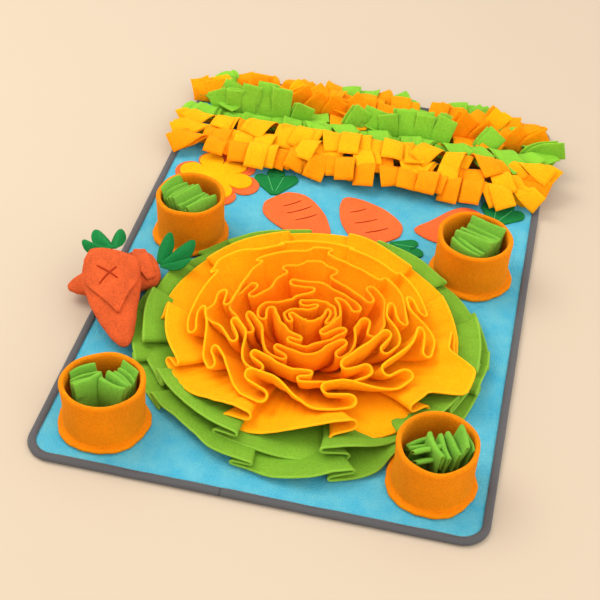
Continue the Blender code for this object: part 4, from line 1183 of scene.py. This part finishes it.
def buildCarrot(name, crownX, crownY, tipX, tipY, halfWidth, bow, leafWay, leafLength):
    # a carrot patch with its sagging stitched lines, and its leaf with two veins
    crown, tip = np.array([crownX, crownY]), np.array([tipX, tipY])
    top = seat + patches["thickness"]
    buildPatch("carrotPatch_" + name, "carrot_patch_" + name,
               carrotEdge(crown, tip, halfWidth, bow), seat, coralFelt)
    lines = []
    share = np.linspace(0, 1, 14)
    sag = np.sin(np.pi * share)
    for start, end in np.array(patches["lines"][name], float):
        x, y = (start + share[:, None] * (end - start)).T
        lines.append(tubeShell(np.column_stack([x + 0.48 * sag, y - 1.2 * sag,
                                                top + 0.05 + 0.25 * sag]), patches["line"]))
    thread = meshPiece("carrotStitches_" + name, lines, darkThread)
    base = crown + patches["gap"] * unit(crown - tip)
    buildPatch("carrotLeaves_" + name, "carrot_leaves_" + name,
               leafEdge(base, leafWay, leafLength), seat, leafFelt)
    veins = []
    reach = np.linspace(5, 0.70 * leafLength, 12)
    for notch in (1 / 3, 2 / 3):
        angle = np.radians(leafWay + patches["leaf spread"] * (2 * notch - 1))
        veins.append(tubeShell(np.column_stack([
            base[0] + reach * np.cos(angle), base[1] + reach * np.sin(angle),
            np.full(len(reach), top + 0.1)]), patches["vein"]))
    thread = meshPiece("leafStitches_" + name, veins, leafThread)


for row in patches["carrots"]:
    buildCarrot(*row)
for node, *shape, height, material, slot in patches["flowers"]:
    buildPatch(node.replace("flower_patch", "flowerPatch"), node, petalEdge(*shape),
               seat + height, material)
print("patches made")


toys = {
    "rings": 64, "around": 60,   # points along a body and round it
    "flap cut": 0.42,            # share of its length in which a flap narrows to its tip
    "flap spread": 60,           # degrees that it reaches to either side of the top
    "flap proud": 1.6, "flap lift": 1.6, "flap thickness": 2.4,
    "leaf thickness": 1.8, "leaf fold": 5.0,
    "cross": 1.0, "thread": 0.28,   # radius of the cross and of the stitches
    "profile": [(0.0, 0.26), (0.025, 0.58), (0.10, 0.86), (0.25, 1.0), (0.45, 0.98), (0.65, 0.84),
                (0.82, 0.62), (0.93, 0.40), (0.985, 0.20), (1.0, 0.08)],
    "front": {
        "crown": (-209.0, -97.0, 54.0), "middle": (-201.0, -134.0, 41.0),
        "tip": (-168.0, -196.0, 19.0), "half width": 31.0, "half thickness": 17.0,
        "flap": (0.10, 0.80), "leaf base": (-212.5, -93.0, 54.5), "leaf way": 134.0,
        "leaf length": 46.0, "leaf rise": -10.0, "leaf spread": 56.0,
    },
    "rear": {
        "crown": (-170.0, -72.0, 26.0), "middle": (-208.0, -95.0, 20.5),
        "tip": (-256.0, -121.0, 15.0), "half width": 29.0, "half thickness": 15.5,
        "flap": (0.10, 0.30), "leaf base": (-171.2, -73.3, 25.1), "leaf way": 42.0,
        "leaf length": 48.0, "leaf rise": 20.0, "leaf spread": 60.0,
    },
}


def toySurface(toy, share, angle, proud=0.0):
    # a point on the stuffed body: a bent line from crown to tip, and an oval round it
    crown, middle, tip = (np.array(toy[key]) for key in ("crown", "middle", "tip"))
    pull = 2 * middle - (crown + tip) / 2
    s = share[..., None]
    point = (1 - s) ** 2 * crown + 2 * s * (1 - s) * pull + s ** 2 * tip
    ahead = unit(2 * (1 - s) * (pull - crown) + 2 * s * (tip - pull))
    aside = unit(np.cross(ahead, [0.0, 0.0, 1.0]))
    up = np.cross(aside, ahead)
    shares, half = np.array(toys["profile"]).T
    size = np.interp(share, shares, half)
    lump = 1 + 0.02 * np.sin(9 * share + 2 * angle) + 0.015 * np.sin(17 * share - 3 * angle)
    wide = (size * toy["half width"] * lump + proud) * np.sin(angle)
    tall = (size * toy["half thickness"] * lump + proud) * np.cos(angle)
    return point + wide[..., None] * aside + tall[..., None] * up


def flapCut(toy, share):
    # a flap's half width, of 1, at a share of the body's length
    start, end = toy["flap"]
    return np.clip((end - share) / (toys["flap cut"] * (end - start)), 0.03, 1) ** 0.9


def buildBody(name, toy):
    # the stuffed body: rings from crown to tip, closer where its profile bends
    shares = np.array(toys["profile"])[:, 0]
    share = np.interp(np.linspace(0, 1, toys["rings"]), np.linspace(0, 1, len(shares)), shares)
    share = np.convolve(np.pad(share, 2, mode="edge"), np.ones(5) / 5, "valid")
    around = np.arange(toys["around"]) / toys["around"] * 2 * np.pi
    s, a = np.meshgrid(share, around, indexing="ij")
    points = toySurface(toy, s, a)
    shell = (np.concatenate([points.reshape(-1, 3), [points[0].mean(0), points[-1].mean(0)]]),
             gridQuads(*s.shape, wrapColumns=True), endFans(*s.shape))
    body = meshPiece("toyBody_" + name, [shell], carrotPlush)
    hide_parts("toy_%s_body" % name)


def buildFlap(name, toy):
    # the pocket's flap: a sheet on the body's top that narrows to its tip, its sides
    # lifted a little towards it
    start, end = toy["flap"]
    share, spread = np.linspace(start, end, 40), np.radians(toys["flap spread"])
    s, across = np.meshgrid(share, np.linspace(-1, 1, 33), indexing="ij")
    angle = across * flapCut(toy, share)[:, None] * spread
    lifted = toys["flap lift"] * np.abs(across) ** 6
    lifted = lifted * smoothStep(s, start + 0.3 * (end - start), end)
    middle = toySurface(toy, s, angle, toys["flap proud"])
    middle[..., 2] += lifted
    flap = meshPiece("toyFlap_" + name, [clothSheet(middle, toys["flap thickness"])], carrotPlush)
    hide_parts("toy_%s_flap" % name)
    wide, long = pathLength(middle, 1).max(), pathLength(middle, 0).max()
    fitArea(sheetArea(middle), wide, long)


def buildStitches(name, toy):
    # a cross on the flap, and short stitches along both of its sides
    start, end = toy["flap"]
    stitches = []
    for slant in (-1, 1):
        t = np.linspace(-1, 1, 16)
        at = 0.50 * (start + end) + 0.085 * t + 0.02 * slant * t ** 2
        turn = np.radians(slant * 19 * t + 4 + 5 * t ** 2)
        stitches.append(tubeShell(toySurface(toy, at, turn, 3.0 - 0.3 * t ** 2), toys["cross"]))
    share = np.linspace(start + 0.02, end - 0.035, 60)
    for way in (-1, 1):
        angle = way * (flapCut(toy, share) - 0.12) * np.radians(toys["flap spread"])
        line = toySurface(toy, share, angle, 2.9)
        for k in range(0, 57, 4):
            stitches.append(tubeShell(line[k:k + 3], toys["thread"], 4))
    thread = meshPiece("toyStitches_" + name, stitches, darkThread)


def buildLeaves(name, toy):
    # a three-lobed leaf that spreads from the crown, with its lobes folded up and down
    place, out = np.meshgrid(np.linspace(0, 1, 61), np.linspace(0, 1, 12), indexing="ij")
    swing = np.radians(toy["leaf way"] + toy["leaf spread"] * (2 * place - 1))
    reach = 5.0 + out * (leafReach(place, 0.5) * toy["leaf length"] - 5.0)
    climb = np.radians(toy["leaf rise"])
    fold = toys["leaf fold"] * out * np.cos(np.pi * (2 * place - 1) * 3)
    fold = fold + 2.5 * np.sin(7 * place + 2) * out ** 2
    middle = np.array(toy["leaf base"]) + np.stack([
        reach * np.cos(swing) * np.cos(climb), reach * np.sin(swing) * np.cos(climb),
        reach * np.sin(climb) + fold], -1)
    leaves = meshPiece("toyLeaves_" + name, [clothSheet(middle, toys["leaf thickness"])],
                       leafFelt)
    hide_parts("toy_%s_leaves" % name)
    size = 2 * toy["leaf length"] * mm
    0.6 * size
    fitArea(sheetArea(middle), size, 0.6 * size)


for name in ("front", "rear"):
    buildBody(name, toys[name])
    buildFlap(name, toys[name])
    if name == "front":
        buildStitches(name, toys[name])
    buildLeaves(name, toys[name])
print("plush carrots made")


studio = {
    "world": (1.0, 0.97, 0.94), "world strength": 1.30,
    "key": (-1.15, 0.15, 1.7), "key size": 1.1, "key power": 21.0,
    "fill": (1.2, -1.4, 1.5), "fill size": 2.0, "fill power": 18.0,
    "azimuth": 9.8027, "elevation": 41.2913, "roll": 3.9515,
    "aim": (-0.015025, -0.055893, 0.0), "distance": 1.54181, "lens": 85.03,
}


def buildFloor():
    # one large flat sheet under everything, its colour clouded very faintly
    shader = Shader("paper floor", Roughness=0.9)
    grain = shader.noise(shader.place(), 3.0, 2.0)
    dim, bright = (shade(colours["floor"], share) for share in (0.985, 1.01))
    shader.feed("Base Color", shader.mix(grain, dim, bright))
    mesh = bpy.data.meshes.new("studioFloor")
    corners = [(x, y, -0.0005) for x, y in ((-6, -6), (6, -6), (6, 8), (-6, 8))]
    mesh.from_pydata(corners, [], [(0, 1, 2, 3)])
    mesh.materials.append(shader.material)
    floor = bpy.data.objects.new("studioFloor", mesh)
    bpy.context.scene.collection.objects.link(floor)


def intoScene(thing, right, up, back, place):
    # a light or camera added to the scene at a place, looking away from back
    holder = bpy.data.objects.new(thing.name, thing)
    axes = np.eye(4)
    axes[:3] = np.stack([right, up, back, place], 1)
    holder.matrix_world = Matrix(axes.tolist())
    bpy.context.scene.collection.objects.link(holder)
    return holder


def areaLight(name, colour):
    # a square lamp that faces the mat
    light = bpy.data.lights.new(name + "Light", "AREA")
    light.size, light.energy, light.color = studio[name + " size"], studio[name + " power"], colour
    back = unit(np.array(studio[name]))
    side = unit(np.cross([0.0, 0.0, 1.0], back))
    intoScene(light, side, np.cross(back, side), back, studio[name])


def buildStudio():
    # an even world, two lamps, and a camera that was fitted to the photograph
    world = bpy.data.worlds.new("softRoom")
    bpy.context.scene.world = world
    world.use_nodes = True
    background = world.node_tree.nodes["Background"]
    background.inputs[0].default_value = (*studio["world"], 1.0)
    background.inputs[1].default_value = studio["world strength"]
    areaLight("key", (1.0, 0.97, 0.93))
    areaLight("fill", (1.0, 1.0, 1.0))
    azimuth, elevation, roll = (np.radians(studio[key]) for key in ("azimuth", "elevation", "roll"))
    back = np.array([np.sin(azimuth) * np.cos(elevation), -np.cos(azimuth) * np.cos(elevation),
                     np.sin(elevation)])
    right = unit(np.cross(-back, [0.0, 0.0, 1.0]))
    up = np.cross(right, -back)
    camera = bpy.data.cameras.new("photoCamera")
    camera.sensor_width, camera.lens = 36.0, studio["lens"]
    camera.clip_start, camera.clip_end = 0.05, 30.0
    bpy.context.scene.camera = intoScene(
        camera, right * np.cos(roll) + up * np.sin(roll), up * np.cos(roll) - right * np.sin(roll),
        back, np.array(studio["aim"]) + studio["distance"] * back)
    bpy.context.scene.view_settings.view_transform = "Standard"


buildFloor()
buildStudio()
print("studio made")
